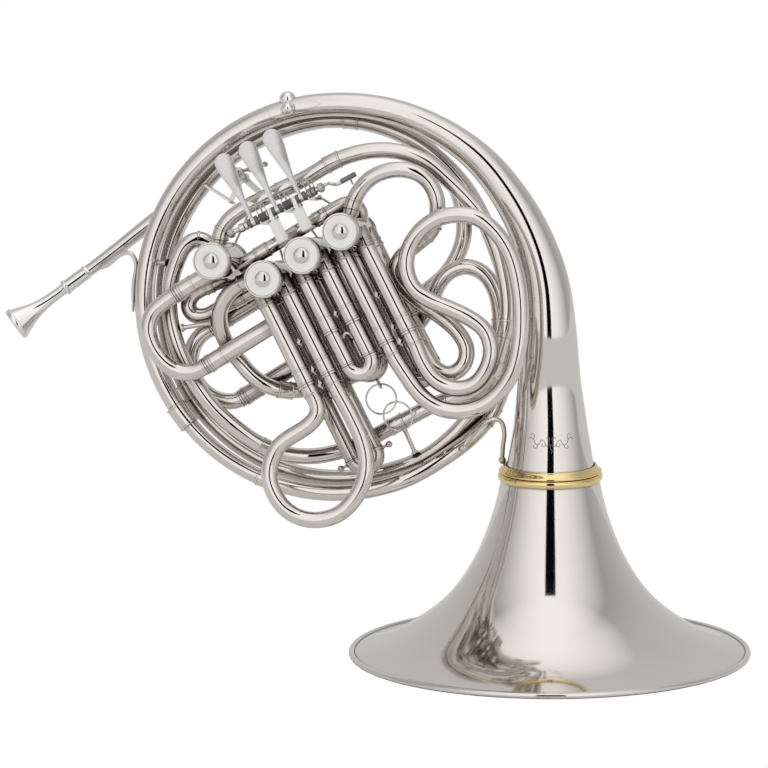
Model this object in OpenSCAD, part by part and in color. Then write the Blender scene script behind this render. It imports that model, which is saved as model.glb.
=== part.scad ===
// Double french horn with four rotary valves, a screw-off bell and pull-out slides.
// The bell stands mouth down on the floor. The origin is the middle of its rim.

/* [Bell] */
// Outer diameter of the bell rim
bell_d = 310; // [290:5:320]
// Wall of the bell flare
bell_wall = 0.8; // [0.6:0.1:1.2]
// Height of the joint where the bell screws off
joint_h = 144.5; // [143:0.5:145]
// Outer diameter of the brass joint ring
joint_ring_d = 80.4; // [80:0.2:84]

/* [Coil] */
// How far the plane of the tubing leans back
coil_lean = 11.5; // [8:0.5:14]
// How far the plane of the tubing stands in front of the rim's middle
coil_front = 67; // [66:0.5:68]
// How far the big coil lies behind the plane of the tubing
coil_depth = 16; // [15.5:0.5:16.5]
// Outer diameter of the fixed branches
branch_d = 12.4; // [12:0.1:12.6]
// Outer diameter of the sliding tubes
slide_d = 12.6; // [12.4:0.1:12.6]
// Outer diameter of the sleeves that the slides run in
sleeve_d = 13.7; // [13.6:0.1:13.8]
// Wall of every tube
tube_wall = 0.5; // [0.4:0.05:0.6]

/* [Valves] */
// Angle of the valve row and of the tuning slides
row_angle = 33; // [31:0.5:34]
// Angle of the valve slides below level
slide_angle = 61.2; // [60:0.2:62]
// Distance from one valve to the next
valve_pitch = 35.1; // [34.8:0.1:35.4]
// Outer diameter of a valve casing
casing_d = 29.2; // [28.8:0.1:29.4]
// Diameter of the rotor
rotor_d = 24.4; // [24:0.1:24.8]
// Half the distance between the two legs of a valve slide
leg_half = 9.4; // [9.2:0.1:9.6]
// Depth of the front slides in front of the tubing plane
front_level = 36; // [35:0.5:37]
// Depth of the rear slides behind the tubing plane
rear_level = 2; // [1:0.5:3]

/* [Levers] */
// Width of a finger paddle at its tip
paddle_w = 14.6; // [12:0.2:16]
// Length of a lever from its axle to the middle of the tip
lever_len = 50.5; // [48:0.5:53]
// Distance between two levers along the axle
lever_pitch = 20.8; // [20:0.1:21.5]

/* [Hidden] */
$fn = 64;

nickel = "#c9c4bb";
brass = "#c9a94e";
steel = "#8d8b86";
cork = "#b48a5a";

branch_r = branch_d / 2;
slide_r = slide_d / 2;
sleeve_r = sleeve_d / 2;
sleeve_bore = slide_r + 0.05;
rotor_r = rotor_d / 2;
casing_r = casing_d / 2;
run_fit = 0.05;
seam = 0.012;
straight_beyond = 1500;
straight_seam = 0.08;

// How far the plane of the tubing stands to the right of the rim's middle, and above the floor
coil_right = 2.8;
coil_up = 3.1;

// Valve axes in the tubing plane, as [right, up]
first_valve = [-214.8, 291.7];
second_valve = first_valve + valve_pitch * [cos(row_angle), sin(row_angle)];
third_valve = second_valve + valve_pitch * [cos(row_angle), sin(row_angle)];
thumb_valve = first_valve + [-40.4, 12.5];
VALVES = [thumb_valve, first_valve, second_valve, third_valve];
casing_front = -58;
casing_back = 14;
down = [cos(slide_angle), 0, -sin(slide_angle)];
across = [sin(slide_angle), 0, cos(slide_angle)];
row_out = [-cos(row_angle), 0, -sin(row_angle)];
stub_len = 17;

// The coil is a circle of tubing, wound round this middle in the tubing plane
ring_mid = [-168.5, 279];
outer_turn = 149.5;
inner_turn = 140;

// ---------- routes: [right, back, up] in the tubing plane, 1 last for a straight run ----------

function turn(radius, from, to, steps, back) = [
    for (i = [0 : steps]) let (a = from + (to - from) * i / steps)
        [ring_mid[0] + radius * cos(a), back, ring_mid[1] + radius * sin(a)]];

tail_route = concat(
    [[0, 20, 157], [0, 14, 187], [-1, 7, 222], [-1, -2, 261], [-4, -6, 295], [-16, -5, 330],
     [-35, -3, 362], [-59, -1, 389], [-90, 0, 410], [-123, 0, 423]],
    turn(outer_turn, 90, 218, 8, 0));
tail_radii = concat(
    [33.4, 28.3, 24.1, 20.9, 18.2, 15.9, 13.9, 12.2, 10.7, 9.9],
    [for (i = [0 : 8]) 9.2 - 2.2 * i / 8]);

first_branch_route = concat(
    turn(outer_turn, 220.5, 294, 5, 0),
    [[-81, 5, 159], [-62, 13, 175], [-46, 24, 198], [-38, 28, 227], [-36, 27, 260], [-39, 25, 292],
     [-48, 23, 319], [-59, 20, 345], [-74, 18, 369], [-94, 17, 389], [-118, 17, 404]],
    turn(inner_turn - 2, 93, 290, 11, 17),
    [[-98, 17, 159], [-80, 17, 173], [-64, 16, 191], [-51, 11, 212], [-43, 5, 235], [-40, 2, 254]]);

leadpipe_route = [
    [-370, 23.5, 292], [-348, 27, 310], [-321, 31, 333], [-295, 32, 354], [-277, 32, 370],
    [-256, 32, 389], [-233, 32, 402], [-207, 32, 412], [-172, 32, 418], [-136, 32, 413],
    [-108, 32, 399], [-89, 32, 378], [-77, 29, 352], [-75, 24, 326], [-85, 21, 303],
    [-102, 20, 287], [-118, 19, 276]];

upper_branch_route = [
    [-258, -12, 320], [-257, -12, 327], [-252, -12, 336], [-241, -12, 345], [-227, -12, 353],
    [-194, -10, 370], [-168, -8, 386], [-145, -7, 393], [-121, -6, 393], [-99, -6, 385],
    [-81, -6, 371], [-65, -7, 356], [-53, -9, 342], [-43, -12, 324], [-36, -14, 304],
    [-32, -14, 283], [-33, -14, 259, 1], [-39, -12, 236]];
lower_branch_route = [
    [-39, -12, 236, 1], [-40.5, -11.5, 230.25], [-46, -3, 220], [-57, 9, 212], [-75, 17, 206],
    [-98, 19, 197, 1], [-133, 19, 177],
    [-153, 19, 166], [-170, 18, 160], [-188, 15, 157], [-204, 10, 158], [-222, 4, 164],
    [-241, -1, 176], [-260, -4, 192], [-275, -5, 211], [-286, -5, 230], [-293, -5, 248],
    [-297, -5, 266], [-297, -3, 285], [-293, -1, 303], [-287, 2, 316], [-278, 4, 321],
    [-270, 5, 318], [-266, 5, 315]];

third_valve_route = [
    [-154, -24, 348], [-150, -24, 360], [-140, -24, 372], [-127, -24, 378], [-112, -24, 379],
    [-99, -23, 374], [-90, -22, 362], [-88, -21, 347], [-94, -18, 332], [-106, -16, 321],
    [-116, -16, 312], [-120, -17, 301], [-112, -17, 288], [-98, -17, 277], [-82, -17, 267],
    [-69, -17, 256], [-62, -17, 243], [-65, -17, 230], [-75, -17, 224], [-86, -17, 228],
    [-93, -17, 238], [-104, -17, 257]];

first_valve_route = [
    [-232, -20, 291], [-243, -17, 285.5], [-251, -14, 277.5], [-256, -12, 267], [-256, -9, 255],
    [-251, -5, 241], [-241, -2, 228], [-229, -2, 216], [-216, 0, 209], [-204, 5, 207],
    [-194, 12, 208], [-183, 18, 210], [-168, 19, 215], [-151, 19, 223], [-124, 19, 244],
    [-107, 17, 261], [-97, 13, 275], [-92, 12, 290], [-83, 12, 302], [-70, 12, 307],
    [-57, 12, 303], [-47, 13, 290], [-43, 15, 273], [-43, 17.6, 256]];

thumb_crook_route = [
    [-264, 2, 287.5], [-272.5, 2, 283.5], [-281, 2, 277.5], [-283.8, 2, 269.5], [-279, 2, 262.5],
    [-270.5, 2, 262], [-258, 2, 269, 1], [-234, 2, 282.5]];

// The two tuning slides: legs along the valve row, then the crook from the upper leg to the lower
main_crook_route = [
    [-288, -21, 279], [-298, -21, 272], [-307, -21, 263], [-310, -21, 252], [-306, -21, 238],
    [-298, -21, 227], [-286, -21, 219], [-273, -21, 219], [-262, -21, 225]];
rear_crook_route = [
    [-266, 16, 254], [-276, 16, 247], [-282, 16, 236], [-282, 16, 222], [-276, 16, 209],
    [-265, 16, 200], [-252, 16, 197], [-240, 16, 201]];

first_loop_route = [
    [-174, -36, 199], [-173, -36, 190], [-180, -36, 181], [-190, -36, 174], [-201, -36, 166],
    [-207, -36, 155], [-209, -36, 142], [-205, -36, 129], [-196, -36, 117], [-183, -36, 110],
    [-169, -36, 109], [-154, -36, 114], [-142, -36, 126], [-135, -36, 141], [-134, -36, 157],
    [-138, -36, 172], [-146, -36, 188]];
third_loop_route = [
    [-92, -36, 231], [-81, -36, 218], [-67, -36, 213], [-52, -36, 217], [-43, -36, 229],
    [-40, -36, 244], [-45, -36, 258], [-57, -36, 267], [-73, -36, 274], [-89, -36, 280],
    [-100, -36, 287], [-107, -36, 299], [-108, -36, 313], [-102, -36, 328], [-90, -36, 340],
    [-72, -36, 346], [-54, -36, 344], [-39, -36, 333], [-28, -36, 317], [-21, -36, 295],
    [-18, -36, 269], [-19, -36, 245], [-24, -36, 225], [-34, -36, 210], [-47, -36, 200],
    [-63, -36, 196], [-79, -36, 198], [-93, -36, 207], [-106, -36, 223]];

leadpipe_brace_route = [
    [-357, 17, 295.5], [-348, 11, 301], [-338, 6, 308], [-331, 3, 309], [-326.5, 2, 303],
    [-327, 1, 285], [-326.6, 0, 263.5]];
bell_brace_route = [
    [-65, 1, 168], [-55, 2, 182], [-46, 4, 190], [-38.5, 8, 190], [-35.5, 12, 182],
    [-37, 17, 169], [-37.5, 19.6, 159.3]];

// ---------- tube work ----------

function unit(v) = v / norm(v);
function xyz(p) = [p[0], p[1], p[2]];
function chord(route, i) = unit(xyz(route[i + 1]) - xyz(route[i]));
function bent(a, b) = unit(a / (a * a) + b / (b * b));
function mirrored(t, c) = 2 * (t * c) * c - t;
function inner_tangent(route, i) =
    len(route[i]) > 3 ? chord(route, i)
    : len(route[i - 1]) > 3 ? chord(route, i - 1)
    : bent(xyz(route[i]) - xyz(route[i - 1]), xyz(route[i + 1]) - xyz(route[i]));
function tangent(route, i) =
    i == 0 ? (len(route[0]) > 3 ? chord(route, 0) : mirrored(inner_tangent(route, 1), chord(route, 0)))
    : i < len(route) - 1 ? inner_tangent(route, i)
    : len(route[i - 1]) > 3 ? chord(route, i - 1)
    : mirrored(inner_tangent(route, i - 1), chord(route, i - 1));

// Reach of the two arcs that join a to b with tangents s and t
function reach(v, s, t) =
    let (k = 2 * (1 - s * t), m = v * (s + t))
        k < 0.000001 ? (v * v) / (4 * (v * t)) : (sqrt(m * m + k * (v * v)) - m) / k;

// Children stand at o, with their X along x and their Y along y
module placed(o, x, y) {
    z = cross(x, y);
    multmatrix([[x[0], y[0], z[0], o[0]], [x[1], y[1], z[1], o[1]], [x[2], y[2], z[2], o[2]], [0, 0, 0, 1]])
        children();
}

// Children stand at o with their Z along d
module pointing(o, d) {
    side = abs(d[1]) < 0.9 ? unit(cross([0, 1, 0], d)) : unit(cross([1, 0, 0], d));
    placed(o, side, cross(d, side)) children();
}

module ring_shape(outer, inner) {
    difference() {
        circle(outer);
        if (inner > 0)
            circle(inner);
    }
}

module straight_tube(a, b, outer, inner, gap = seam) {
    pointing(a + gap * unit(b - a), unit(b - a))
        linear_extrude(norm(b - a) - 2 * gap) ring_shape(outer, inner);
}

// One arc of tube from a, leaving along t, to b
module arc_tube(a, t, b, outer, inner) {
    c = b - a;
    off = c - (c * t) * t;
    w = norm(off);
    if (w * 2 * straight_beyond < c * c)
        straight_tube(a, b, outer, inner, straight_seam);
    else {
        r = (c * c) / (2 * w);
        n = off / w;
        trim = seam / r * 180 / PI;
        placed(a + r * n, -n, t) rotate([0, 0, trim])
            rotate_extrude(angle = 2 * atan2(w, c * t) - 2 * trim)
            translate([r, 0]) ring_shape(outer, inner);
    }
}

module tube(route, outer, inner) {
    for (i = [0 : len(route) - 2]) {
        a = xyz(route[i]);
        b = xyz(route[i + 1]);
        if (len(route[i]) > 3)
            straight_tube(a, b, outer, inner);
        else {
            s = tangent(route, i);
            t = tangent(route, i + 1);
            d = reach(b - a, s, t);
            m = (a + d * s + b - d * t) / 2;
            arc_tube(a, s, m, outer, inner);
            arc_tube(m, unit(m - a - d * s), b, outer, inner);
        }
    }
}

module branch(route) {
    tube(route, branch_r, branch_r - tube_wall);
}

// Smooth curve through a route, with steps places in each stretch
function eased(a, b, s, t, u) =
    let (k = norm(b - a), u2 = u * u, u3 = u2 * u)
        (2 * u3 - 3 * u2 + 1) * a + (u3 - 2 * u2 + u) * k * s + (3 * u2 - 2 * u3) * b + (u3 - u2) * k * t;
function curve(route, steps) = concat(
    [for (i = [0 : len(route) - 2], j = [0 : steps - 1])
        eased(xyz(route[i]), xyz(route[i + 1]), tangent(route, i), tangent(route, i + 1), j / steps)],
    [xyz(route[len(route) - 1])]);
function graded(radii, steps) = concat(
    [for (i = [0 : len(radii) - 2], j = [0 : steps - 1]) radii[i] + (radii[i + 1] - radii[i]) * j / steps],
    [radii[len(radii) - 1]]);

// One face between the rings of points that start at a and b, with its outside clockwise
function band(a, b, j, sides) = [b + j, b + (j + 1) % sides, a + (j + 1) % sides, a + j];

// Hollow tapering tube along a route
module tapered_tube(route, radii, wall, steps, sides) {
    mids = curve(route, steps);
    sizes = graded(radii, steps);
    n = len(mids);
    loop = [for (side = [0, 1], i = [0 : n - 1])
        let (
            t = unit(mids[min(i + 1, n - 1)] - mids[max(i - 1, 0)]),
            x = unit(cross([0, 1, 0], t)),
            y = cross(t, x),
            r = sizes[i] - side * wall)
        for (j = [0 : sides - 1]) mids[i] + r * (cos(360 * j / sides) * x + sin(360 * j / sides) * y)];
    in = n * sides;
    end = (n - 1) * sides;
    faces = [for (j = [0 : sides - 1]) each concat(
        [for (i = [0 : n - 2]) band(i * sides, (i + 1) * sides, j, sides)],
        [for (i = [0 : n - 2]) band(in + (i + 1) * sides, in + i * sides, j, sides)],
        [band(in, 0, j, sides), band(end, in + end, j, sides)])];
    polyhedron(points = loop, faces = faces, convexity = 8);
}

// The plane of the valves and slides, and the plane of the big coil behind it
module in_valve_plane() {
    translate([coil_right, -coil_front, 0]) rotate([-coil_lean, 0, 0]) translate([0, 0, coil_up]) children();
}
module in_coil_plane() {
    in_valve_plane() translate([-coil_right, coil_depth, 0]) children();
}

// Children stand on a valve's axis, with Z running back
module on_valve(valve, back = 0) {
    translate([valve[0], back, valve[1]]) rotate([-90, 0, 0]) children();
}
function at_valve(valve, back) = [valve[0], back, valve[1]];

// ---------- bell ----------

// Outer line of the flare from the rim to the joint, as [radius, 0, height]
flare_line = [
    [bell_d / 2 - 2, 0, 3.6], [138, 0, 7.2], [124.5, 0, 12.4], [99, 0, 28], [78, 0, 46.5],
    [58.4, 0, 76], [46, 0, 106], [38.9, 0, 133], [37, 0, joint_h]];
bead_r = 2.2;

function flat_normal(line, i) =
    let (t = unit(line[min(i + 1, len(line) - 1)] - line[max(i - 1, 0)])) [-t[2], 0, t[0]];

module bell_flare() {
    line = curve(flare_line, 5);
    last = len(line) - 1;
    color(nickel) rotate_extrude($fn = 120) polygon(concat(
        [for (i = [last : -1 : 0]) [line[i][0], line[i][2]]],
        [for (a = [75 : -30 : -165]) [bell_d / 2 - bead_r + bead_r * cos(a), bead_r * (sin(75) + sin(a))]],
        [for (i = [1 : last])
            let (p = line[i] + bell_wall * flat_normal(line, i)) [p[0], i < last ? p[2] : joint_h]]));
}

// The ring on the bell has a thin sleeve that slides up into the socket on the tail
sleeve_in = 34.6;
sleeve_out = 35.4;
sleeve_h = 10.5;
ring_h = 6;
module bell_collar() {
    ring_r = joint_ring_d / 2;
    color(brass) {
        rotate_extrude($fn = 120) polygon([
            [38.2, joint_h - ring_h], [ring_r - 1.2, joint_h - ring_h], [ring_r, joint_h - 4.2],
            [ring_r, joint_h - 2], [ring_r - 1, joint_h - 0.6], [ring_r - 2, joint_h - 0.2],
            [37.4, joint_h - 0.2]]);
        translate([0, 0, joint_h - ring_h]) linear_extrude(sleeve_h) ring_shape(sleeve_out, sleeve_in);
    }
}

module bell_socket() {
    bore = sleeve_out + run_fit;
    color(brass) rotate_extrude($fn = 120) polygon([
        [bore, joint_h + 0.2], [39.4, joint_h + 0.2], [39.6, joint_h + 1.2], [38.2, joint_h + 2.8],
        [36.2, joint_h + 5], [35.6, joint_h + 5.8], [34.4, joint_h + 5.8], [34.4, joint_h + 4.9],
        [bore, joint_h + 4.7]]);
}

module bell_tail() {
    color(nickel) in_coil_plane() tapered_tube(tail_route, tail_radii, tube_wall, 3, 24);
}

module tail_ferrule() {
    color(nickel) in_coil_plane() tube(turn(outer_turn, 216, 222, 2, 0), 8.2, 7.1);
}

// ---------- fixed branches ----------

module first_branch() {
    color(nickel) in_coil_plane() branch(first_branch_route);
}

mouth_way = -tangent(leadpipe_route, 0);
receiver_out = 20;
shank_in = 17;
leadpipe_radii = [4.6, 5.1, 5.7, branch_r];
cone_gap = 0.4;

// Straight tapering tube from a to b
module cone_tube(a, b, from_r, to_r) {
    len = norm(b - a) - 2 * cone_gap;
    pointing(a + cone_gap * unit(b - a), unit(b - a)) rotate_extrude() polygon([
        [from_r - tube_wall, 0], [from_r, 0], [to_r, len], [to_r - tube_wall, len]]);
}

module leadpipe() {
    color(nickel) in_coil_plane() {
        for (i = [0 : 2])
            cone_tube(leadpipe_route[i], leadpipe_route[i + 1], leadpipe_radii[i], leadpipe_radii[i + 1]);
        branch([for (i = [3 : len(leadpipe_route) - 1]) leadpipe_route[i]]);
    }
}

module mouthpiece_receiver() {
    color(nickel) in_coil_plane() pointing(xyz(leadpipe_route[0]) + receiver_out * mouth_way, -mouth_way)
        rotate_extrude() polygon([
            [3.95, 0], [5.6, 0], [5.9, 0.8], [5.9, 2.4], [5.4, 3.2], [5.4, 22], [4.75, 23.5], [4.75, 20.2],
            [3.95, 19.9]]);
}

// Cup, throat and shank, turned about the blowing line; height 0 is the tip of the shank
module mouthpiece() {
    color(nickel) in_coil_plane()
        pointing(xyz(leadpipe_route[0]) + (receiver_out - shank_in) * mouth_way, mouth_way)
        rotate_extrude() polygon([
            [3, 0], [3.9, 0], [3.9, shank_in], [4.1, 24], [4.5, 30], [5.2, 36], [6.2, 41], [8, 46.5],
            [10.4, 52], [12, 57], [12.6, 60.5], [12.7, 62.5], [12.2, 64.2], [11, 65], [9.6, 64.4],
            [8.8, 62], [7.4, 55], [5.6, 49], [3.6, 44], [2.3, 40], [2.2, 36], [2.7, 18]]);
}

module upper_branch() {
    color(nickel) in_valve_plane() branch(upper_branch_route);
}

module lower_branch() {
    color(nickel) in_valve_plane() branch(lower_branch_route);
}

module third_valve_branch() {
    color(nickel) in_valve_plane() branch(third_valve_route);
}

module first_valve_branch() {
    color(nickel) in_valve_plane() branch(first_valve_route);
}

module thumb_valve_crook() {
    color(nickel) in_valve_plane() branch(thumb_crook_route);
}

// Slimmer tube that runs behind the row, from the thumb valve to the third
cross_r = 5.4;
cross_from = [-237.5, -14, 304.2];
cross_to = [-161, -14, 353];
module cross_tube() {
    color(nickel) in_valve_plane()
        straight_tube(cross_from, cross_to, cross_r, cross_r - tube_wall);
}

// ---------- valves ----------

// Short sockets under a casing, which the slide sleeves butt against
module sockets(valve, levels, outer, start, stop) {
    for (level = levels, side = [-1, 1])
        pointing(at_valve(valve, level) + side * leg_half * across + start * down, down)
            cylinder(h = stop - start, r = outer);
}

module casing(valve, levels) {
    color(nickel) in_valve_plane() difference() {
        union() {
            on_valve(valve, casing_front) cylinder(h = casing_back - casing_front, r = casing_r);
            sockets(valve, levels, sleeve_r + 0.25, 1, stub_len);
        }
        on_valve(valve, casing_front - 1) cylinder(h = casing_back - casing_front + 2, r = rotor_r + run_fit);
        sockets(valve, levels, slide_r - tube_wall, 0, stub_len + 1);
    }
}

slide_levels = [-front_level, rear_level];

module thumb_casing() {
    casing(thumb_valve, []);
}

module first_casing() {
    casing(first_valve, slide_levels);
}

module second_casing() {
    casing(second_valve, slide_levels);
}

module third_casing() {
    casing(third_valve, slide_levels);
}

rotor_front = casing_front + 4;
rotor_back = casing_back - 3;
spindle_r = 3;
plate_front = casing_back - 2.6;
spindle_len = 11.8;

// A rotor has two curved passages at each level, here straight chords
module rotor(valve) {
    color(brass) in_valve_plane() on_valve(valve) {
        difference() {
            translate([0, 0, rotor_front]) cylinder(h = rotor_back - rotor_front, r = rotor_r);
            for (level = [-front_level, rear_level - 4], side = [-1, 1])
                translate([side * 7.4, 0, level]) rotate([90, 0, 0])
                    translate([0, 0, -rotor_r - 1]) cylinder(h = 2 * rotor_r + 2, r = 4.6);
        }
        translate([0, 0, rotor_back + 0.01]) cylinder(h = spindle_len, r = spindle_r);
    }
}

module thumb_rotor() {
    rotor(thumb_valve);
}

module first_rotor() {
    rotor(first_valve);
}

module second_rotor() {
    rotor(second_valve);
}

module third_rotor() {
    rotor(third_valve);
}

// Screwed cap with its domed middle, seen on the front of each valve
cap_front = casing_front - 3.6;
dome_r = 8.4;
dome_h = 2.7;
module valve_cap() {
    translate([0, 0, cap_front]) rotate_extrude() polygon([
        [0, 0], [13.7, 0], [14.3, 0.6], [14.3, 3.2], [12, 3.45], [12, 6.6], [0, 6.6]]);
    difference() {
        translate([0, 0, cap_front - 0.01 - dome_h + dome_r]) sphere(r = dome_r);
        translate([-dome_r, -dome_r, cap_front - 0.01]) cube(2 * dome_r);
    }
}

module valve_caps() {
    color(nickel) in_valve_plane() for (valve = VALVES) on_valve(valve) valve_cap();
}

// The back of each valve is closed by a plate with a wider cover on it, both bored for the spindle
module bearing_plates() {
    color(nickel) in_valve_plane() for (valve = VALVES) on_valve(valve) difference() {
        union() {
            translate([0, 0, plate_front]) cylinder(h = 2.7, r = rotor_r - 0.1);
            translate([0, 0, casing_back + 0.05]) cylinder(h = 2.4, r = casing_r + 0.8);
        }
        translate([0, 0, plate_front - 1]) cylinder(h = 8, r = spindle_r + run_fit);
    }
}

// Stop arm on the spindle: a hub, a tongue that meets the corks, and the pin for the link
arm_back = casing_back + 5.5;
arm_h = 3;
arm_hub_r = 5.4;
tongue = 11;
pin_h = 6.2;
pin_r = 0.9;
pin_reach = 8;
thumb_pin_reach = 4.2;

module stop_arm(valve, reach_out, angle) {
    color(steel) in_valve_plane() on_valve(valve, arm_back) rotate([0, 0, angle]) {
        difference() {
            union() {
                cylinder(h = arm_h, r = arm_hub_r);
                translate([0, -1.6, 0]) cube([reach_out + 1.6, 3.2, arm_h]);
                translate([-tongue, -1.5, 0]) cube([tongue, 3, arm_h]);
            }
            translate([0, 0, -1]) cylinder(h = arm_h + 2, r = spindle_r + 0.01);
        }
        translate([reach_out, 0, arm_h + 0.01]) cylinder(h = pin_h, r = pin_r);
    }
}
// Angle of a pin at rest, about the axis that runs back, from right towards down
pin_angle = -73;
thumb_pin_angle = 175;

module thumb_stop_arm() {
    stop_arm(thumb_valve, thumb_pin_reach, thumb_pin_angle);
}

module first_stop_arm() {
    stop_arm(first_valve, pin_reach, pin_angle);
}

module second_stop_arm() {
    stop_arm(second_valve, pin_reach, pin_angle);
}

module third_stop_arm() {
    stop_arm(third_valve, pin_reach, pin_angle);
}

// Two corks for each valve, which stop the tongue a quarter turn apart
module stop_corks() {
    color(cork) in_valve_plane() for (valve = VALVES, side = [0, 1])
        on_valve(valve, casing_back + 2.5)
            rotate([0, 0, (valve == thumb_valve ? thumb_pin_angle : pin_angle) + 180 + 90 * side])
            translate([7.5, side == 0 ? -4.6 : 1.7, 0]) cube([4, 2.9, 6]);
}

// ---------- sleeves and slides ----------

sleeve_ends = [87, 62, 91];
rear_sleeve_ends = [96, 66, 78];
slide_valves = [first_valve, second_valve, third_valve];
grip = 40;

function leg_point(valve, side, level, along) =
    at_valve(valve, level) + side * leg_half * across + along * down;

// A sleeve with a bead at its mouth
module sleeve(from, to) {
    way = unit(to - from);
    straight_tube(from, to - 4.6 * way, sleeve_r, sleeve_bore);
    pointing(to - 4.59 * way, way) rotate_extrude() polygon([
        [sleeve_bore, 0], [sleeve_r + 0.1, 0], [sleeve_r + 0.6, 0.5], [sleeve_r + 0.6, 1.2],
        [sleeve_r + 0.1, 1.7], [sleeve_r + 0.1, 2.8], [sleeve_r + 0.6, 3.3], [sleeve_r + 0.6, 4.1], [sleeve_r + 0.1, 4.6],
        [sleeve_bore, 4.6]]);
}

module leg_sleeves(valve, level, stop) {
    for (side = [-1, 1])
        sleeve(leg_point(valve, side, level, stub_len + 0.1), leg_point(valve, side, level, stop));
}

main_upper = main_crook_route[0];
main_lower = main_crook_route[len(main_crook_route) - 1];
rear_upper = rear_crook_route[0];
rear_lower = rear_crook_route[len(rear_crook_route) - 1];

module front_sleeves() {
    color(nickel) in_valve_plane() {
        for (i = [0 : 2])
            leg_sleeves(slide_valves[i], -front_level, sleeve_ends[i]);
        sleeve(main_upper - 26 * row_out, main_upper);
        sleeve(main_lower - 64 * row_out, main_lower);
    }
}

module rear_sleeves() {
    color(nickel) in_valve_plane() {
        for (i = [0 : 2])
            leg_sleeves(slide_valves[i], rear_level, rear_sleeve_ends[i]);
        sleeve(rear_upper - 34 * row_out, rear_upper);
        sleeve(rear_lower - 32 * row_out, rear_lower);
    }
}

crook_gap = 2.5;
lead_in = 1.5;
// A route that leaves a and comes back to b straight along way, with bends between
function led_in(a, b, way, bends) = concat(
    [concat(a, 1), a + lead_in * way], bends, [concat(b + lead_in * way, 1), b]);

// The crook of a tuning slide with the two legs that run in the sleeves
module tuning_slide(crook, upper_in, lower_in) {
    upper = crook[0];
    lower = crook[len(crook) - 1];
    crook_start = upper + crook_gap * row_out;
    crook_stop = lower + crook_gap * row_out;
    straight_tube(upper - upper_in * row_out, crook_start, slide_r, slide_r - tube_wall);
    straight_tube(lower - lower_in * row_out, crook_stop, slide_r, slide_r - tube_wall);
    bends = [for (i = [1 : len(crook) - 2]) crook[i]];
    tube(led_in(crook_start, crook_stop, row_out, bends), slide_r + 0.3, slide_r - tube_wall);
}

module main_tuning_slide() {
    color(nickel) in_valve_plane() tuning_slide(main_crook_route, 24, 45);
}

module rear_tuning_slide() {
    color(nickel) in_valve_plane() tuning_slide(rear_crook_route, 30, 28);
}

// Two straight legs that run in a pair of sleeves
module slide_legs(valve, level, mouth, stop) {
    for (side = [-1, 1])
        straight_tube(leg_point(valve, side, level, mouth - grip), leg_point(valve, side, level, stop),
            slide_r, slide_r - tube_wall);
}

// A small bar between the two legs
module leg_bar(valve, level, along, r = 1.6, outer = slide_r) {
    reach_in = leg_half - outer - 0.03;
    pointing(at_valve(valve, level) - reach_in * across + along * down, across)
        cylinder(h = 2 * reach_in, r = r);
}

module loop_slide(valve, route, mouth, stop) {
    color(nickel) in_valve_plane() {
        slide_legs(valve, -front_level, mouth, stop);
        leg_bar(valve, -front_level, mouth + 4);
        left = leg_point(valve, -1, -front_level, stop);
        right = leg_point(valve, 1, -front_level, stop);
        ends = route == first_loop_route ? [left, right] : [right, left];
        tube(led_in(ends[0], ends[1], down, route), slide_r + 0.1, slide_r - tube_wall);
    }
}

module first_slide() {
    loop_slide(first_valve, first_loop_route, sleeve_ends[0], 92);
}

module third_slide() {
    loop_slide(third_valve, third_loop_route, sleeve_ends[2], 98);
}

// A plain slide: two legs and a half turn between them
module plain_slide(valve, level, mouth, stop) {
    slide_legs(valve, level, mouth, stop);
    arc_tube(leg_point(valve, -1, level, stop), down, leg_point(valve, 1, level, stop) + 0.001 * down,
        slide_r + 0.1, slide_r - tube_wall);
    leg_bar(valve, level, mouth + 4);
}

second_stop = 90.5;
module second_slide() {
    color(nickel) in_valve_plane() plain_slide(second_valve, -front_level, sleeve_ends[1], second_stop);
}

// Two round knobs on the crook of the longest rear slide
module pull_knob(at, way) {
    pointing(at, way) {
        cylinder(h = 3.4, r = 1.1);
        translate([0, 0, 5.4]) sphere(r = 2.5);
    }
}

rear_stops = [151, 91, 116];
module first_rear_slide() {
    color(nickel) in_valve_plane() {
        plain_slide(first_valve, rear_level, rear_sleeve_ends[0], rear_stops[0]);
        for (side = [-1, 1])
            pull_knob(leg_point(first_valve, side, rear_level, rear_stops[0] + 1)
                + side * (slide_r + 0.15) * across, side * across);
    }
}

lug_at = at_valve(second_valve, rear_level) + (rear_stops[1] + leg_half + slide_r + 0.15) * down;
lug_hole = 3.3;
module second_rear_slide() {
    color(nickel) in_valve_plane() {
        plain_slide(second_valve, rear_level, rear_sleeve_ends[1], rear_stops[1]);
        pointing(lug_at, down) difference() {
            translate([-0.8, -3, 0]) cube([1.6, 6, 6.6]);
            translate([-2, 0, lug_hole]) rotate([0, 90, 0]) cylinder(h = 4, r = 2.2);
        }
    }
}

module third_rear_slide() {
    color(nickel) in_valve_plane()
        plain_slide(third_valve, rear_level, rear_sleeve_ends[2], rear_stops[2]);
}

// ---------- levers ----------

axle_level = -44;
axle_angle = 28.5;
axle_r = 2;
axle_from = [-240, axle_level, 328];
axle_way = [cos(axle_angle), 0, sin(axle_angle)];
first_hub = 15.5;
axle_len = 70;
arm_reach = 70;
link_pin_back = arm_reach - 2;
link_pin_r = 0.9;

// Children stand at a lever's place on the axle: X along the axle, Z up the lever, Y back
module on_axle(along) {
    translate(axle_from + along * axle_way) rotate([0, -axle_angle, 0]) children();
}

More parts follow.
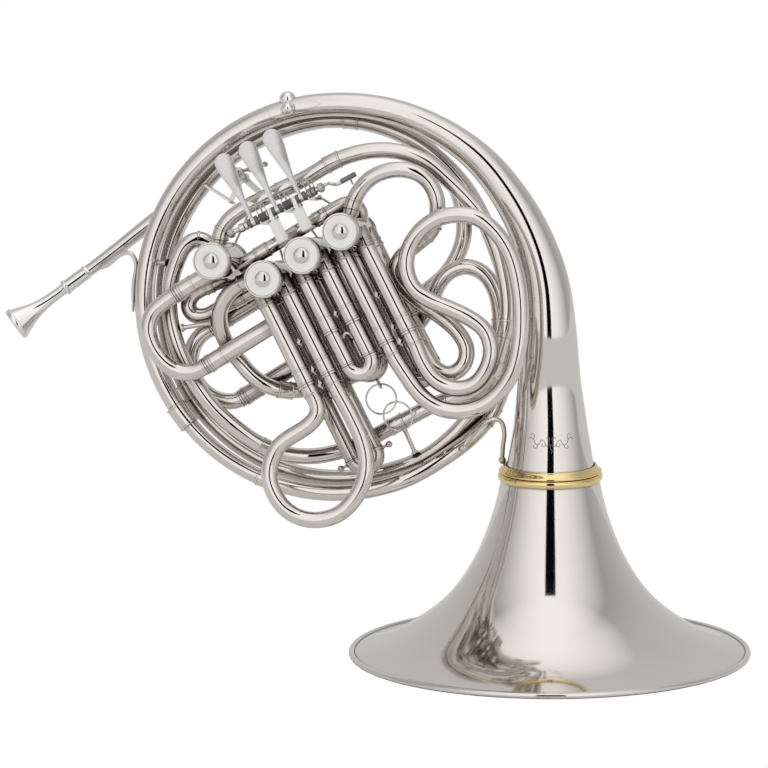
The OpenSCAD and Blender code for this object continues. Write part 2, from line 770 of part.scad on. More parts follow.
// Finger paddle, hub and the long arm that runs back to the link
paddle_t = 1.6;
hub_r = 3.4;
hub_w = 8;
module lever() {
    color(nickel) {
        translate([0, -3.2, 0]) rotate([-90, 0, 0]) linear_extrude(paddle_t) hull() {
            translate([0, -lever_len]) circle(d = paddle_w);
            translate([0, -5.2]) circle(d = 4);
        }
        difference() {
            union() {
                translate([-hub_w / 2, 0, 0]) rotate([0, 90, 0]) cylinder(h = hub_w, r = hub_r);
                translate([-1.3, -2.6, -1.2]) cube([2.6, 3, 6]);
                translate([-1.3, 0, -1.5]) cube([2.6, arm_reach, 3]);
                translate([0, link_pin_back, 0]) rotate([0, 90, 0]) cylinder(h = 3.9, r = link_pin_r);
            }
            translate([-5, 0, 0]) rotate([0, 90, 0]) cylinder(h = 10, r = axle_r + run_fit);
        }
    }
}

module first_lever() {
    in_valve_plane() on_axle(first_hub) lever();
}

module second_lever() {
    in_valve_plane() on_axle(first_hub + lever_pitch) lever();
}

module third_lever() {
    in_valve_plane() on_axle(first_hub + 2 * lever_pitch) lever();
}

// Rod from a lever's pin to the pin of its stop arm, ending in an open eye round that pin
link_back = arm_back + arm_h + 3.6;
eye_r = 3.6;
small_eye = 2.1;
eye_t = 2.2;

module link_rod(from, pin) {
    way = unit(pin - from);
    pointing(from + 1.8 * way, way) cylinder(h = norm(pin - from) - 1.8 - eye_r - 0.6, r = 0.9);
    translate(pin) rotate([-90, 0, 0]) linear_extrude(2) ring_shape(eye_r + 1, eye_r);
}

function pin_place(valve, reach_out, angle) =
    at_valve(valve, link_back) + reach_out * [cos(angle), 0, -sin(angle)];

module lever_link(index) {
    along = first_hub + index * lever_pitch;
    color(steel) in_valve_plane() {
        on_axle(along) translate([1.6, link_pin_back, 0]) rotate([0, 90, 0])
            linear_extrude(eye_t) ring_shape(small_eye, link_pin_r + run_fit);
        link_rod(axle_from + (along + 2.7) * axle_way + [0, link_pin_back, 0],
            pin_place(slide_valves[index], pin_reach, pin_angle));
    }
}

module first_link() {
    lever_link(0);
}

module second_link() {
    lever_link(1);
}

module third_link() {
    lever_link(2);
}

// The axle the levers turn on, with a slotted screw head at each end
module lever_axle() {
    color(steel) in_valve_plane() pointing(axle_from - 2 * axle_way, axle_way) {
        cylinder(h = axle_len + 4, r = axle_r);
        for (end = [-5.01, axle_len + 4.01])
            translate([0, 0, end]) difference() {
                cylinder(h = 5, r = 4);
                translate([-0.5, -5, end < 0 ? -1 : 4]) cube([1, 10, 2]);
            }
    }
}

// A coiled return spring beside each lever's hub
spring_r = 3.1;
spring_wire = 0.55;
spring_pitch = 1.25;
module lever_springs() {
    color(steel) in_valve_plane() for (i = [0 : 2])
        on_axle(first_hub + i * lever_pitch + 4.8)
            for (turn_no = [0 : 5])
                translate([turn_no * spring_pitch + 0.6, 0, 0]) rotate([0, 90, 0])
                    rotate_extrude() translate([spring_r, 0]) circle(spring_wire);
}

// Two flat brackets that carry the axle in front of the casings
bracket_t = 2.2;
bracket_w = 8.8;
bracket_low = 25;
module lever_brackets() {
    color(nickel) in_valve_plane() for (i = [0, 1])
        on_axle(first_hub + (i + 0.72) * lever_pitch) difference() {
            union() {
                translate([-bracket_w / 2, -6.2, -bracket_low]) cube([bracket_w, bracket_t, 19]);
                translate([-1.5, -6.2, -8]) cube([3, 10, 8]);
                translate([-1.5, 0, 0]) rotate([0, 90, 0]) cylinder(h = 3, r = 4);
                translate([-bracket_w / 2, -4.1, -bracket_low]) cube([bracket_w, 14, 2]);
            }
            translate([-3, 0, 0]) rotate([0, 90, 0]) cylinder(h = 6, r = axle_r + 0.02);
        }
}

// Thumb lever: it turns on a post behind the row and pushes the thumb valve's link
thumb_pivot = [-247, 369.6];
thumb_level = 12;
thumb_arm = [-235.5, 360];
thumb_plate = [-256, 351];
module thumb_lever() {
    color(nickel) in_valve_plane() {
        difference() {
            union() {
                on_valve(thumb_pivot, thumb_level) cylinder(h = 12, r = 4);
                hull() {
                    on_valve(thumb_pivot, thumb_level + 6) cylinder(h = 3, r = 2.4);
                    on_valve(thumb_arm, thumb_level + 6) cylinder(h = 3, r = 2.2);
                }
                hull() {
                    on_valve(thumb_pivot, thumb_level + 1) cylinder(h = 3, r = 2);
                    on_valve(thumb_plate, thumb_level + 1) cylinder(h = 3, r = 1.6);
                }
                on_valve(thumb_arm, thumb_level + 7) cylinder(h = 6, r = link_pin_r);
            }
            on_valve(thumb_pivot, thumb_level - 1) cylinder(h = 14, r = 1.5 + run_fit);
        }
        hull() for (x = [5, 27], y = [0, 8])
            translate([-279.5 + 0.862 * x, thumb_level + 2 + y, 364 - 0.507 * x]) rotate([0, 30.5, 0])
                cylinder(h = 1.6, r = 3, $fn = 32);
    }
}

module thumb_link() {
    color(steel) in_valve_plane() {
        on_valve(thumb_arm, thumb_level + 9.6)
            linear_extrude(eye_t) ring_shape(small_eye, link_pin_r + run_fit);
        link_rod([thumb_arm[0], thumb_level + 10.7, thumb_arm[1]],
            pin_place(thumb_valve, thumb_pin_reach, thumb_pin_angle));
    }
}

module thumb_post() {
    color(steel) in_valve_plane() {
        on_valve(thumb_pivot, -5.2) cylinder(h = 16.9, r = 3);
        on_valve(thumb_pivot, 11.71) cylinder(h = 14, r = 1.5);
        on_valve(thumb_pivot, 25.72) cylinder(h = 2, r = 3.4);
    }
}

// ---------- braces and fittings ----------

brace_r = 1.8;
module rod(a, b) {
    pointing(a, unit(b - a)) cylinder(h = norm(b - a), r = brace_r);
}

module leadpipe_brace() {
    color(nickel) in_coil_plane() tube(leadpipe_brace_route, brace_r, 0);
}

module bell_brace() {
    color(nickel) in_coil_plane() tube(bell_brace_route, brace_r, 0);
}

module tube_braces() {
    color(nickel) in_valve_plane() {
        for (i = [0, 2])
            leg_bar(slide_valves[i], -front_level, 55, 2, sleeve_r);
        rod([-312, 14, 302], [-301, 3, 302]);
        rod([-286, -5, 252.5], [-263.5, -8, 257]);
        rod([-116, 26, 181], [-107, 27.5, 162.5]);
    }
}

// Two balls at the top of the coil, one on the other
top_ball_at = [-211, -2, 431];
top_ball_r = 6.4;
front_ball_at = [-209, -11, 423.5];
front_ball_r = 5;
module top_fitting() {
    color(nickel) in_coil_plane() {
        translate(top_ball_at) sphere(r = top_ball_r);
        translate(front_ball_at) sphere(r = front_ball_r);
    }
}

// Two linked rings that hang straight down from the lug; mid is measured from the lug's hole
ring_r = 11.6;
ring_wire = 0.8;
ring_tilt = 9;
upper_ring_mid = [1.5, 0, -ring_r + 0.15];
lower_ring_mid = upper_ring_mid + [13, 0, -13];

module pull_ring(mid, tilt) {
    color(nickel) in_valve_plane() translate(lug_at + lug_hole * down) rotate([coil_lean, 0, 0])
        translate(mid) rotate(a = tilt, v = lower_ring_mid - upper_ring_mid) rotate([90, 0, 0])
        rotate_extrude() translate([ring_r, 0]) circle(ring_wire);
}

module upper_pull_ring() {
    pull_ring(upper_ring_mid, -ring_tilt);
}

module lower_pull_ring() {
    pull_ring(lower_ring_mid, ring_tilt);
}

bell_flare();
bell_collar();
bell_socket();
bell_tail();
tail_ferrule();
first_branch();
leadpipe();
mouthpiece_receiver();
mouthpiece();
upper_branch();
lower_branch();
third_valve_branch();
first_valve_branch();
thumb_valve_crook();
cross_tube();
thumb_casing();
first_casing();
second_casing();
third_casing();
thumb_rotor();
first_rotor();
second_rotor();
third_rotor();
thumb_stop_arm();
first_stop_arm();
second_stop_arm();
third_stop_arm();
valve_caps();
bearing_plates();
stop_corks();
front_sleeves();
rear_sleeves();
main_tuning_slide();
rear_tuning_slide();
first_slide();
second_slide();
third_slide();
first_rear_slide();
second_rear_slide();
third_rear_slide();
first_lever();
second_lever();
third_lever();
thumb_lever();
first_link();
second_link();
third_link();
thumb_link();
lever_axle();
lever_springs();
lever_brackets();
thumb_post();
leadpipe_brace();
bell_brace();
tube_braces();
top_fitting();
upper_pull_ring();
lower_pull_ring();
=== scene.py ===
"""Looks of the double french horn: smooth tubing, ferrules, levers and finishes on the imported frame."""
import math

import bpy
import numpy as np
from mathutils import Matrix, Vector


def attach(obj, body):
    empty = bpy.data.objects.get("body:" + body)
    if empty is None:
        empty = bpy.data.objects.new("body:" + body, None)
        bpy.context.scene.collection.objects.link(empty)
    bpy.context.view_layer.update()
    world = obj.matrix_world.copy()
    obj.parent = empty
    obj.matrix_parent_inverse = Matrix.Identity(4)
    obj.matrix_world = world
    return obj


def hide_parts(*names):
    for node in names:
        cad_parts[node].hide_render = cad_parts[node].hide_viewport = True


MM = 0.001

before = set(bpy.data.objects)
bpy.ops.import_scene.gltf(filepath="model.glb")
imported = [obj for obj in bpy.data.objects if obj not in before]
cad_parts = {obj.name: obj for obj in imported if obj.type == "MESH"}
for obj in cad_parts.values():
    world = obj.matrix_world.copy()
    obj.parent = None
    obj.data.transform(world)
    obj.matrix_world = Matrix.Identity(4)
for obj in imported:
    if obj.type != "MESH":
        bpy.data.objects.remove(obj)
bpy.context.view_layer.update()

# ---------- the two planes of the tubing, in millimetres ----------


def moved(place, x, y, z):
    return place @ Matrix.Translation((x, y, z))


TILT = math.radians(-11.5)
VALVE = moved(Matrix.Translation((2.8, -67, 0)) @ Matrix.Rotation(TILT, 4, "X"), 0, 0, 3.1)
COIL = moved(VALVE, -2.8, 16, 0)
STOOD_UP = Matrix.Rotation(math.pi / 2, 4, "X")

BRANCH_R = 6.2
SLIDE_R = 6.3
SLEEVE_R = 6.85
LEG_HALF = 9.4
FRONT = -36
REAR = 2
CASING_FRONT = -58
COIL_R = 149.5
FINGERS = ("first", "second", "third")


def turned_about(angle, length=1.0):
    return length * np.array([math.cos(math.radians(angle)), 0, math.sin(math.radians(angle))])


ROW_UP = turned_about(33)
ROW_OUT = -ROW_UP
DOWN = turned_about(-61.2)
ACROSS = turned_about(28.8)
FIRST = np.array([-214.8, 0, 291.7])
VALVES = {
    "thumb": FIRST + [-40.4, 0, 12.5],
    "first": FIRST,
    "second": FIRST + 35.1 * ROW_UP,
    "third": FIRST + 70.2 * ROW_UP,
}
BACK = np.array([0, 1.0, 0])

# ---------- mesh work ----------


def unit(v):
    return v / np.linalg.norm(v)


class Shape:
    """Points in millimetres and faces, which become one named piece."""

    def __init__(self):
        self.points, self.faces, self.count = [], [], 0

    def add(self, points, faces):
        self.points.append(np.asarray(points, float))
        self.faces.extend(tuple(i + self.count for i in f) for f in faces)
        self.count += len(points)

    def rings(self, rings, looped=False, caps=True):
        n, m = len(rings), len(rings[0])
        faces = [
            (i * m + j, i * m + (j + 1) % m, (i + 1) % n * m + (j + 1) % m, (i + 1) % n * m + j)
            for i in range(n if looped else n - 1)
            for j in range(m)
        ]
        if caps and not looped:
            faces += [tuple(range(m - 1, -1, -1)), tuple(range((n - 1) * m, n * m))]
        self.add(np.concatenate(rings), faces)


def in_plane(plane, points):
    m = np.array(plane)
    return np.asarray(points, float) @ m[:3, :3].T + m[:3, 3]


def sides_of(pts, looped=False):
    """For each point of a path, two directions square to it that turn as little as they can."""
    n = len(pts)
    if looped:
        ways = [unit(pts[(i + 1) % n] - pts[i - 1]) for i in range(n)]
    else:
        ways = [unit(pts[min(i + 1, n - 1)] - pts[max(i - 1, 0)]) for i in range(n)]
    side = np.cross([0, 0, 1.0], ways[0])
    if np.linalg.norm(side) < 0.2:
        side = np.cross([0, 1.0, 0], ways[0])
    frames = []
    for way in ways:
        side = unit(side - (side @ way) * way)
        frames.append((side, np.cross(way, side)))
    return frames


def sweep(shape, pts, radii, sides=28, looped=False):
    turn = np.linspace(0, 2 * math.pi, sides, endpoint=False)
    c, s = np.cos(turn)[:, None], np.sin(turn)[:, None]
    radii = np.broadcast_to(radii, (len(pts),))
    rings = [p + r * (c * x + s * y) for p, r, (x, y) in zip(pts, radii, sides_of(pts, looped))]
    shape.rings(rings, looped=looped)


def tangents(route):
    pts = [np.array(p[:3], float) for p in route]
    straight = [len(p) > 3 for p in route]
    n = len(pts)
    ways = [None] * n
    for i in range(1, n - 1):
        a, b = pts[i] - pts[i - 1], pts[i + 1] - pts[i]
        ways[i] = unit(b) if straight[i] else unit(a) if straight[i - 1] else unit(a / (a @ a) + b / (b @ b))
    for end, near in ((0, 1), (n - 1, n - 2)):
        c = unit(pts[near] - pts[end])
        t = ways[near] if n > 2 else c
        ways[end] = 2 * (t @ c) * c - t
        if straight[min(end, near)] or n == 2:
            ways[end] = c if end == 0 else -c
    return pts, ways, straight


def course(route, step=2.0, soften=5):
    """Evenly stepped points of a smooth path through a route; a fourth entry marks a straight stretch."""
    pts, ways, straight = tangents(route)
    out = []
    for i in range(len(pts) - 1):
        a, b, s, t = pts[i], pts[i + 1], ways[i], ways[i + 1]
        k = np.linalg.norm(b - a)
        n = max(2, math.ceil(k / step))
        for j in range(n):
            u = j / n
            if straight[i]:
                out.append(a + (b - a) * u)
            else:
                out.append(
                    (2 * u**3 - 3 * u**2 + 1) * a + (u**3 - 2 * u**2 + u) * k * s
                    + (3 * u**2 - 2 * u**3) * b + (u**3 - u**2) * k * t
                )
    out.append(pts[-1])
    return softened(np.array(out), soften)


def softened(values, times):
    values = np.array(values, float)
    for _ in range(times):
        values[1:-1] = 0.25 * values[:-2] + 0.5 * values[1:-1] + 0.25 * values[2:]
    return values


def lengths(pts):
    return np.concatenate([[0], np.cumsum(np.linalg.norm(np.diff(pts, axis=0), axis=1))])


def along(pts, distances):
    s = lengths(pts)
    return np.stack([np.interp(distances, s, pts[:, k]) for k in range(3)], 1)


def profiled(shape, pts, profile, sides=28):
    """Tube along a path whose radius follows [(distance, radius), ...]."""
    s = lengths(pts)
    marks = np.array([p[0] for p in profile], float)
    inner = [d for d in s if marks[0] < d < marks[-1] and np.min(np.abs(marks - d)) > 0.35]
    stops = sorted([(d, np.interp(d, marks, [p[1] for p in profile]), 0.5) for d in inner]
                   + [(d, r, i * 1e-3) for i, (d, r) in enumerate(profile)], key=lambda q: (q[0], q[2]))
    places = along(pts, [q[0] for q in stops])
    at = np.array([q[0] for q in stops])
    ways = [unit(w) for w in along(pts, at + 0.8) - along(pts, at - 0.8)]
    side = np.cross([0, 0, 1.0], ways[0])
    if np.linalg.norm(side) < 0.2:
        side = np.cross([0, 1.0, 0], ways[0])
    turn = np.linspace(0, 2 * math.pi, sides, endpoint=False)
    c, sn = np.cos(turn)[:, None], np.sin(turn)[:, None]
    rings = []
    for p, (_, r, _), way in zip(places, stops, ways):
        side = unit(side - (side @ way) * way)
        rings.append(p + r * (c * side + sn * np.cross(way, side)))
    shape.rings(rings)


def ferrule(shape, pts, start, length, r, lift=0.45, bead=0.5):
    """Soldered band round a tube, with a raised bead line at each end."""
    e, a, b = start + length, r + lift, r + lift + bead
    profiled(shape, pts, [
        (start, r - 0.3), (start, a + 0.2), (start + 0.3, b), (start + 1.1, b), (start + 1.5, a),
        (e - 1.5, a), (e - 1.1, b), (e - 0.3, b), (e, a + 0.2), (e, r - 0.3)])


def turned(shape, profile, origin, axis, segments=64, looped=False):
    """Body of revolution: profile is [(radius, height), ...] about axis from origin."""
    axis = unit(np.asarray(axis, float))
    x = unit(np.cross([0, 1.0, 0] if abs(axis[1]) < 0.9 else [1.0, 0, 0], axis))
    y = np.cross(axis, x)
    turn = np.linspace(0, 2 * math.pi, segments, endpoint=False)
    c, s = np.cos(turn)[:, None], np.sin(turn)[:, None]
    rings = [np.asarray(origin) + h * axis + max(r, 1e-4) * (c * x + s * y) for r, h in profile]
    shape.rings(rings, looped=looped)


def rounded(points, times=3):
    """Profile with its corners cut, so that it turns smoothly."""
    pts = [np.array(p, float) for p in points]
    for _ in range(times):
        cut = [pts[0]]
        for a, b in zip(pts, pts[1:]):
            cut += [0.75 * a + 0.25 * b, 0.25 * a + 0.75 * b]
        pts = cut + [pts[-1]]
    return pts


def ball(shape, middle, r, axis=(0, 0, 1.0), segments=40):
    arc = np.linspace(0.01, math.pi - 0.01, 22)
    turned(shape, [(r * math.sin(a), -r * math.cos(a)) for a in arc], middle, axis, segments)


def plate(shape, outline, thick, place, bevel=0.35):
    """Flat plate with eased edges: an outline in X and Y, from 0 to thick in Z, put in place."""
    pts = np.array(outline, float)
    n = len(pts)
    around = zip(np.roll(pts, 1, 0), np.roll(pts, -1, 0))
    out = np.array([unit(np.array([q[1] - p[1], p[0] - q[0]])) for p, q in around])
    area = sum(pts[i - 1][0] * pts[i][1] - pts[i][0] * pts[i - 1][1] for i in range(n))
    out = out if area > 0 else -out
    rings = []
    eased = 0.3 * bevel
    levels = [(0, bevel), (eased, eased), (bevel, 0)]
    levels += [(thick - h, inset) for h, inset in levels[::-1]]
    for h, inset in levels:
        ring = pts - inset * out
        rings.append(in_plane(place, np.c_[ring, np.full(n, h)]))
    shape.rings(rings)


def block(shape, lo, hi, place, bevel=0.3):
    outline = [(lo[0], lo[1]), (hi[0], lo[1]), (hi[0], hi[1]), (lo[0], hi[1])]
    plate(shape, outline, hi[2] - lo[2], moved(place, 0, 0, lo[2]), bevel)


MATERIALS = {}


def finish_piece(name, shape, finish, body, *stands_for, crease=38):
    mesh = bpy.data.meshes.new(name)
    mesh.from_pydata((np.concatenate(shape.points) * MM).tolist(), [], shape.faces)
    mesh.update()
    mesh.shade_smooth()
    mesh.set_sharp_from_angle(angle=math.radians(crease))
    obj = bpy.data.objects.new(name, mesh)
    bpy.context.scene.collection.objects.link(obj)
    obj.data.materials.append(MATERIALS[finish])
    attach(obj, body)
    if stands_for:
        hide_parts(*stands_for)


# ---------- finishes ----------


def metal(name, metallic, light, dark, rough, bump, grain=35.0, painted_crevice_shade=None, reach=0.012):
    """Procedural finish: broad tone variation, fine polishing marks in the roughness, a slight relief, and
    painted shade:
    the base colour darkens towards a shade colour where ambient occlusion finds near surfaces, in crevices and
    between tubes."""
    mat = bpy.data.materials.new(name)
    mat.use_nodes = True
    tree = mat.node_tree
    shader = tree.nodes["Principled BSDF"]
    shader.inputs["Metallic"].default_value = metallic
    place = tree.nodes.new("ShaderNodeTexCoord")
    broad = tree.nodes.new("ShaderNodeTexNoise")
    broad.inputs["Scale"].default_value = grain
    broad.inputs["Detail"].default_value = 3
    fine = tree.nodes.new("ShaderNodeTexNoise")
    fine.inputs["Scale"].default_value = grain * 22
    fine.inputs["Detail"].default_value = 2
    for noise in (broad, fine):
        tree.links.new(place.outputs["Object"], noise.inputs["Vector"])
    tone = tree.nodes.new("ShaderNodeValToRGB")
    tone.color_ramp.elements[0].position, tone.color_ramp.elements[0].color = 0.3, (*dark, 1)
    tone.color_ramp.elements[1].position, tone.color_ramp.elements[1].color = 0.7, (*light, 1)
    tree.links.new(broad.outputs["Fac"], tone.inputs["Fac"])
    colour = tone.outputs["Color"]
    # Painted shade: an ambient occlusion node darkens the base colour towards the given shade colour in
    # crevices and where tubes sit close together.
    if painted_crevice_shade:
        near = tree.nodes.new("ShaderNodeAmbientOcclusion")
        near.samples = 8
        near.inputs["Distance"].default_value = reach
        shade_amount = tree.nodes.new("ShaderNodeMapRange")
        shade_amount.inputs["From Min"].default_value, shade_amount.inputs["From Max"].default_value = 0.92, 0.38
        tree.links.new(near.outputs["AO"], shade_amount.inputs["Value"])
        mixed = tree.nodes.new("ShaderNodeMix")
        mixed.data_type = "RGBA"
        tree.links.new(shade_amount.outputs["Result"], mixed.inputs["Factor"])
        tree.links.new(colour, mixed.inputs[6])
        mixed.inputs[7].default_value = (*painted_crevice_shade, 1)
        colour = mixed.outputs[2]
    tree.links.new(colour, shader.inputs["Base Color"])
    gloss = tree.nodes.new("ShaderNodeMapRange")
    gloss.inputs["To Min"].default_value, gloss.inputs["To Max"].default_value = rough
    tree.links.new(fine.outputs["Fac"], gloss.inputs["Value"])
    tree.links.new(gloss.outputs["Result"], shader.inputs["Roughness"])
    relief = tree.nodes.new("ShaderNodeBump")
    relief.inputs["Strength"].default_value = bump
    relief.inputs["Distance"].default_value = 0.0002
    tree.links.new(broad.outputs["Fac"], relief.inputs["Height"])
    tree.links.new(relief.outputs["Normal"], shader.inputs["Normal"])
    MATERIALS[name] = mat


# Painted shade: the dark crevice colours given below are shade colours. metal() mixes them in by ambient
# occlusion, darkening tube sides next to their neighbours and the bell's rim notch.
metal("polished_nickel_silver", 1.0, (0.80, 0.755, 0.71), (0.765, 0.72, 0.675), (0.035, 0.06), 0.10,
      painted_crevice_shade=(0.20, 0.17, 0.14), reach=0.013)
metal("bell_nickel_silver", 1.0, (0.80, 0.76, 0.72), (0.77, 0.73, 0.69), (0.05, 0.09), 0.05, 18.0,
      painted_crevice_shade=(0.12, 0.10, 0.08), reach=0.002)
metal("silver_plate", 1.0, (0.90, 0.89, 0.87), (0.86, 0.85, 0.83), (0.05, 0.10), 0.05)
metal("satin_nickel", 0.25, (0.985, 0.975, 0.95), (0.97, 0.96, 0.935), (0.36, 0.46), 0.02, 60.0)
metal("brushed_nickel", 0.85, (0.76, 0.75, 0.735), (0.72, 0.71, 0.695), (0.24, 0.34), 0.02, 60.0)
# Painted shade: a darker copy of the polished nickel silver, used for the valve casings and the rear slides
# and sleeves, which sit deeper in the horn.
metal("deep_set_shaded_nickel", 1.0, (0.62, 0.575, 0.54), (0.56, 0.515, 0.48), (0.05, 0.09), 0.10,
      painted_crevice_shade=(0.18, 0.15, 0.12))
metal("lacquered_brass", 1.0, (0.93, 0.76, 0.40), (0.88, 0.69, 0.33), (0.06, 0.11), 0.08)
metal("rotor_brass", 1.0, (0.86, 0.70, 0.38), (0.78, 0.60, 0.30), (0.15, 0.28), 0.15)
metal("spring_steel", 0.75, (0.26, 0.25, 0.24), (0.17, 0.165, 0.16), (0.30, 0.48), 0.20, 90.0)
metal("turned_steel", 1.0, (0.62, 0.60, 0.57), (0.54, 0.52, 0.49), (0.15, 0.26), 0.15, 60.0)
metal("cork", 0.0, (0.52, 0.36, 0.21), (0.36, 0.23, 0.13), (0.75, 0.92), 0.8, 160.0)
NICKEL, BELL, SILVER, SATIN = "polished_nickel_silver", "bell_nickel_silver", "silver_plate", "satin_nickel"
BRUSHED, SHADED_NICKEL = "brushed_nickel", "deep_set_shaded_nickel"
BRASS, SPRING, STEEL = "lacquered_brass", "spring_steel", "turned_steel"

# ---------- the CAD's routes, in millimetres ----------
# Right, back and up in their plane; a last 1 marks a straight run.

RING_MID = (-168.5, 279)


def coil_turn(radius, start, stop, steps, back):
    x, z = RING_MID
    angles = np.radians(np.linspace(start, stop, steps + 1))
    return [[x + radius * math.cos(a), back, z + radius * math.sin(a)] for a in angles]


TAIL = [[0, 20, 157], [0, 14, 187], [-1, 7, 222], [-1, -2, 261], [-4, -6, 295], [-16, -5, 330],
        [-35, -3, 362], [-59, -1, 389], [-90, 0, 410], [-123, 0, 423]] + coil_turn(COIL_R, 90, 218, 8, 0)
TAIL_RADII = [33.4, 28.3, 24.1, 20.9, 18.2, 15.9, 13.9, 12.2, 10.7, 9.9]
TAIL_RADII += [9.2 - 2.2 * i / 8 for i in range(9)]
FIRST_BRANCH = coil_turn(COIL_R, 220.5, 294, 5, 0) + [
    [-81, 5, 159], [-62, 13, 175], [-46, 24, 198], [-38, 28, 227], [-36, 27, 260], [-39, 25, 292],
    [-48, 23, 319], [-59, 20, 345], [-74, 18, 369], [-94, 17, 389], [-118, 17, 404],
] + coil_turn(138, 93, 290, 11, 17) + [
    [-98, 17, 159], [-80, 17, 173], [-64, 16, 191], [-51, 11, 212], [-43, 5, 235], [-40, 2, 254]]
LEADPIPE = [
    [-370, 23.5, 292], [-348, 27, 310], [-321, 31, 333], [-295, 32, 354], [-277, 32, 370],
    [-256, 32, 389], [-233, 32, 402], [-207, 32, 412], [-172, 32, 418], [-136, 32, 413],
    [-108, 32, 399], [-89, 32, 378], [-77, 29, 352], [-75, 24, 326], [-85, 21, 303],
    [-102, 20, 287], [-118, 19, 276]]
UPPER_BRANCH = [
    [-258, -12, 320], [-257, -12, 327], [-252, -12, 336], [-241, -12, 345], [-227, -12, 353],
    [-194, -10, 370], [-168, -8, 386], [-145, -7, 393], [-121, -6, 393], [-99, -6, 385],
    [-81, -6, 371], [-65, -7, 356], [-53, -9, 342], [-43, -12, 324], [-36, -14, 304],
    [-32, -14, 283], [-33, -14, 259, 1], [-39, -12, 236]]
LOWER_BRANCH = [
    [-39, -12, 236, 1], [-40.5, -11.5, 230.25], [-46, -3, 220], [-57, 9, 212], [-75, 17, 206],
    [-98, 19, 197, 1], [-133, 19, 177],
    [-153, 19, 166], [-170, 18, 160], [-188, 15, 157], [-204, 10, 158], [-222, 4, 164],
    [-241, -1, 176], [-260, -4, 192], [-275, -5, 211], [-286, -5, 230], [-293, -5, 248],
    [-297, -5, 266], [-297, -3, 285], [-293, -1, 303], [-287, 2, 316], [-278, 4, 321],
    [-270, 5, 318], [-266, 5, 315]]
THIRD_VALVE_BRANCH = [
    [-154, -24, 348], [-150, -24, 360], [-140, -24, 372], [-127, -24, 378], [-112, -24, 379],
    [-99, -23, 374], [-90, -22, 362], [-88, -21, 347], [-94, -18, 332], [-106, -16, 321],
    [-116, -16, 312], [-120, -17, 301], [-112, -17, 288], [-98, -17, 277], [-82, -17, 267],
    [-69, -17, 256], [-62, -17, 243], [-65, -17, 230], [-75, -17, 224], [-86, -17, 228],
    [-93, -17, 238], [-104, -17, 257]]
FIRST_VALVE_BRANCH = [
    [-232, -20, 291], [-243, -17, 285.5], [-251, -14, 277.5], [-256, -12, 267], [-256, -9, 255],
    [-251, -5, 241], [-241, -2, 228], [-229, -2, 216], [-216, 0, 209], [-204, 5, 207],
    [-194, 12, 208], [-183, 18, 210], [-168, 19, 215], [-151, 19, 223], [-124, 19, 244],
    [-107, 17, 261], [-97, 13, 275], [-92, 12, 290], [-83, 12, 302], [-70, 12, 307],
    [-57, 12, 303], [-47, 13, 290], [-43, 15, 273], [-43, 17.6, 256]]
THUMB_CROOK = [
    [-264, 2, 287.5], [-272.5, 2, 283.5], [-281, 2, 277.5], [-283.8, 2, 269.5], [-279, 2, 262.5],
    [-270.5, 2, 262], [-258, 2, 269, 1], [-234, 2, 282.5]]
MAIN_CROOK = [
    [-288, -21, 279], [-298, -21, 272], [-307, -21, 263], [-310, -21, 252], [-306, -21, 238],
    [-298, -21, 227], [-286, -21, 219], [-273, -21, 219], [-262, -21, 225]]
REAR_CROOK = [
    [-266, 16, 254], [-276, 16, 247], [-282, 16, 236], [-282, 16, 222], [-276, 16, 209],
    [-265, 16, 200], [-252, 16, 197], [-240, 16, 201]]
FIRST_LOOP = [
    [-174, -36, 199], [-173, -36, 190], [-180, -36, 181], [-190, -36, 174], [-201, -36, 166],
    [-207, -36, 155], [-209, -36, 142], [-205, -36, 129], [-196, -36, 117], [-183, -36, 110],
    [-169, -36, 109], [-154, -36, 114], [-142, -36, 126], [-135, -36, 141], [-134, -36, 157],
    [-138, -36, 172], [-146, -36, 188]]
THIRD_LOOP = [
    [-92, -36, 231], [-81, -36, 218], [-67, -36, 213], [-52, -36, 217], [-43, -36, 229],
    [-40, -36, 244], [-45, -36, 258], [-57, -36, 267], [-73, -36, 274], [-89, -36, 280],
    [-100, -36, 287], [-107, -36, 299], [-108, -36, 313], [-102, -36, 328], [-90, -36, 340],
    [-72, -36, 346], [-54, -36, 344], [-39, -36, 333], [-28, -36, 317], [-21, -36, 295],
    [-18, -36, 269], [-19, -36, 245], [-24, -36, 225], [-34, -36, 210], [-47, -36, 200],
    [-63, -36, 196], [-79, -36, 198], [-93, -36, 207], [-106, -36, 223]]
LEADPIPE_BRACE = [
    [-357, 17, 295.5], [-348, 11, 301], [-338, 6, 308], [-331, 3, 309], [-326.5, 2, 303],
    [-327, 1, 285], [-326.6, 0, 263.5]]
BELL_BRACE = [
    [-65, 1, 168], [-55, 2, 182], [-46, 4, 190], [-38.5, 8, 190], [-35.5, 12, 182],
    [-37, 17, 169], [-37.5, 19.6, 159.3]]

# ---------- bell ----------

JOINT = 144.5
FLARE = [[150.2, 0, 3.5], [138, 0, 7.2], [124.5, 0, 12.4], [99, 0, 28], [78, 0, 46.5],
         [58.4, 0, 76], [46, 0, 106], [38.9, 0, 133], [37, 0, JOINT]]


BELL_WALL = 0.8
RIM_BEAD_AT, RIM_BEAD_R = (152.65, 2.28), 2.3
JOINT_RING = [(37.6, 138.9), (38.3, 138.3), (39.4, 138.5), (40.2, 140.0), (40.3, 142.0), (39.6, 143.7),
              (38.4, 144.3), (37.2, 144.3)]
SOCKET_RING = [(35.5, 144.7), (38.6, 144.7), (39.7, 145.0), (39.5, 146.2), (38.0, 147.6), (36.6, 149.0),
               (36.0, 150.2), (35.2, 150.5), (34.3, 150.3), (34.3, 148)]


def spun(shape, profile, segments):
    """Closed ring section spun about the bell's own axis."""
    turned(shape, profile, (0, 0, 0), (0, 0, 1), segments, looped=True)


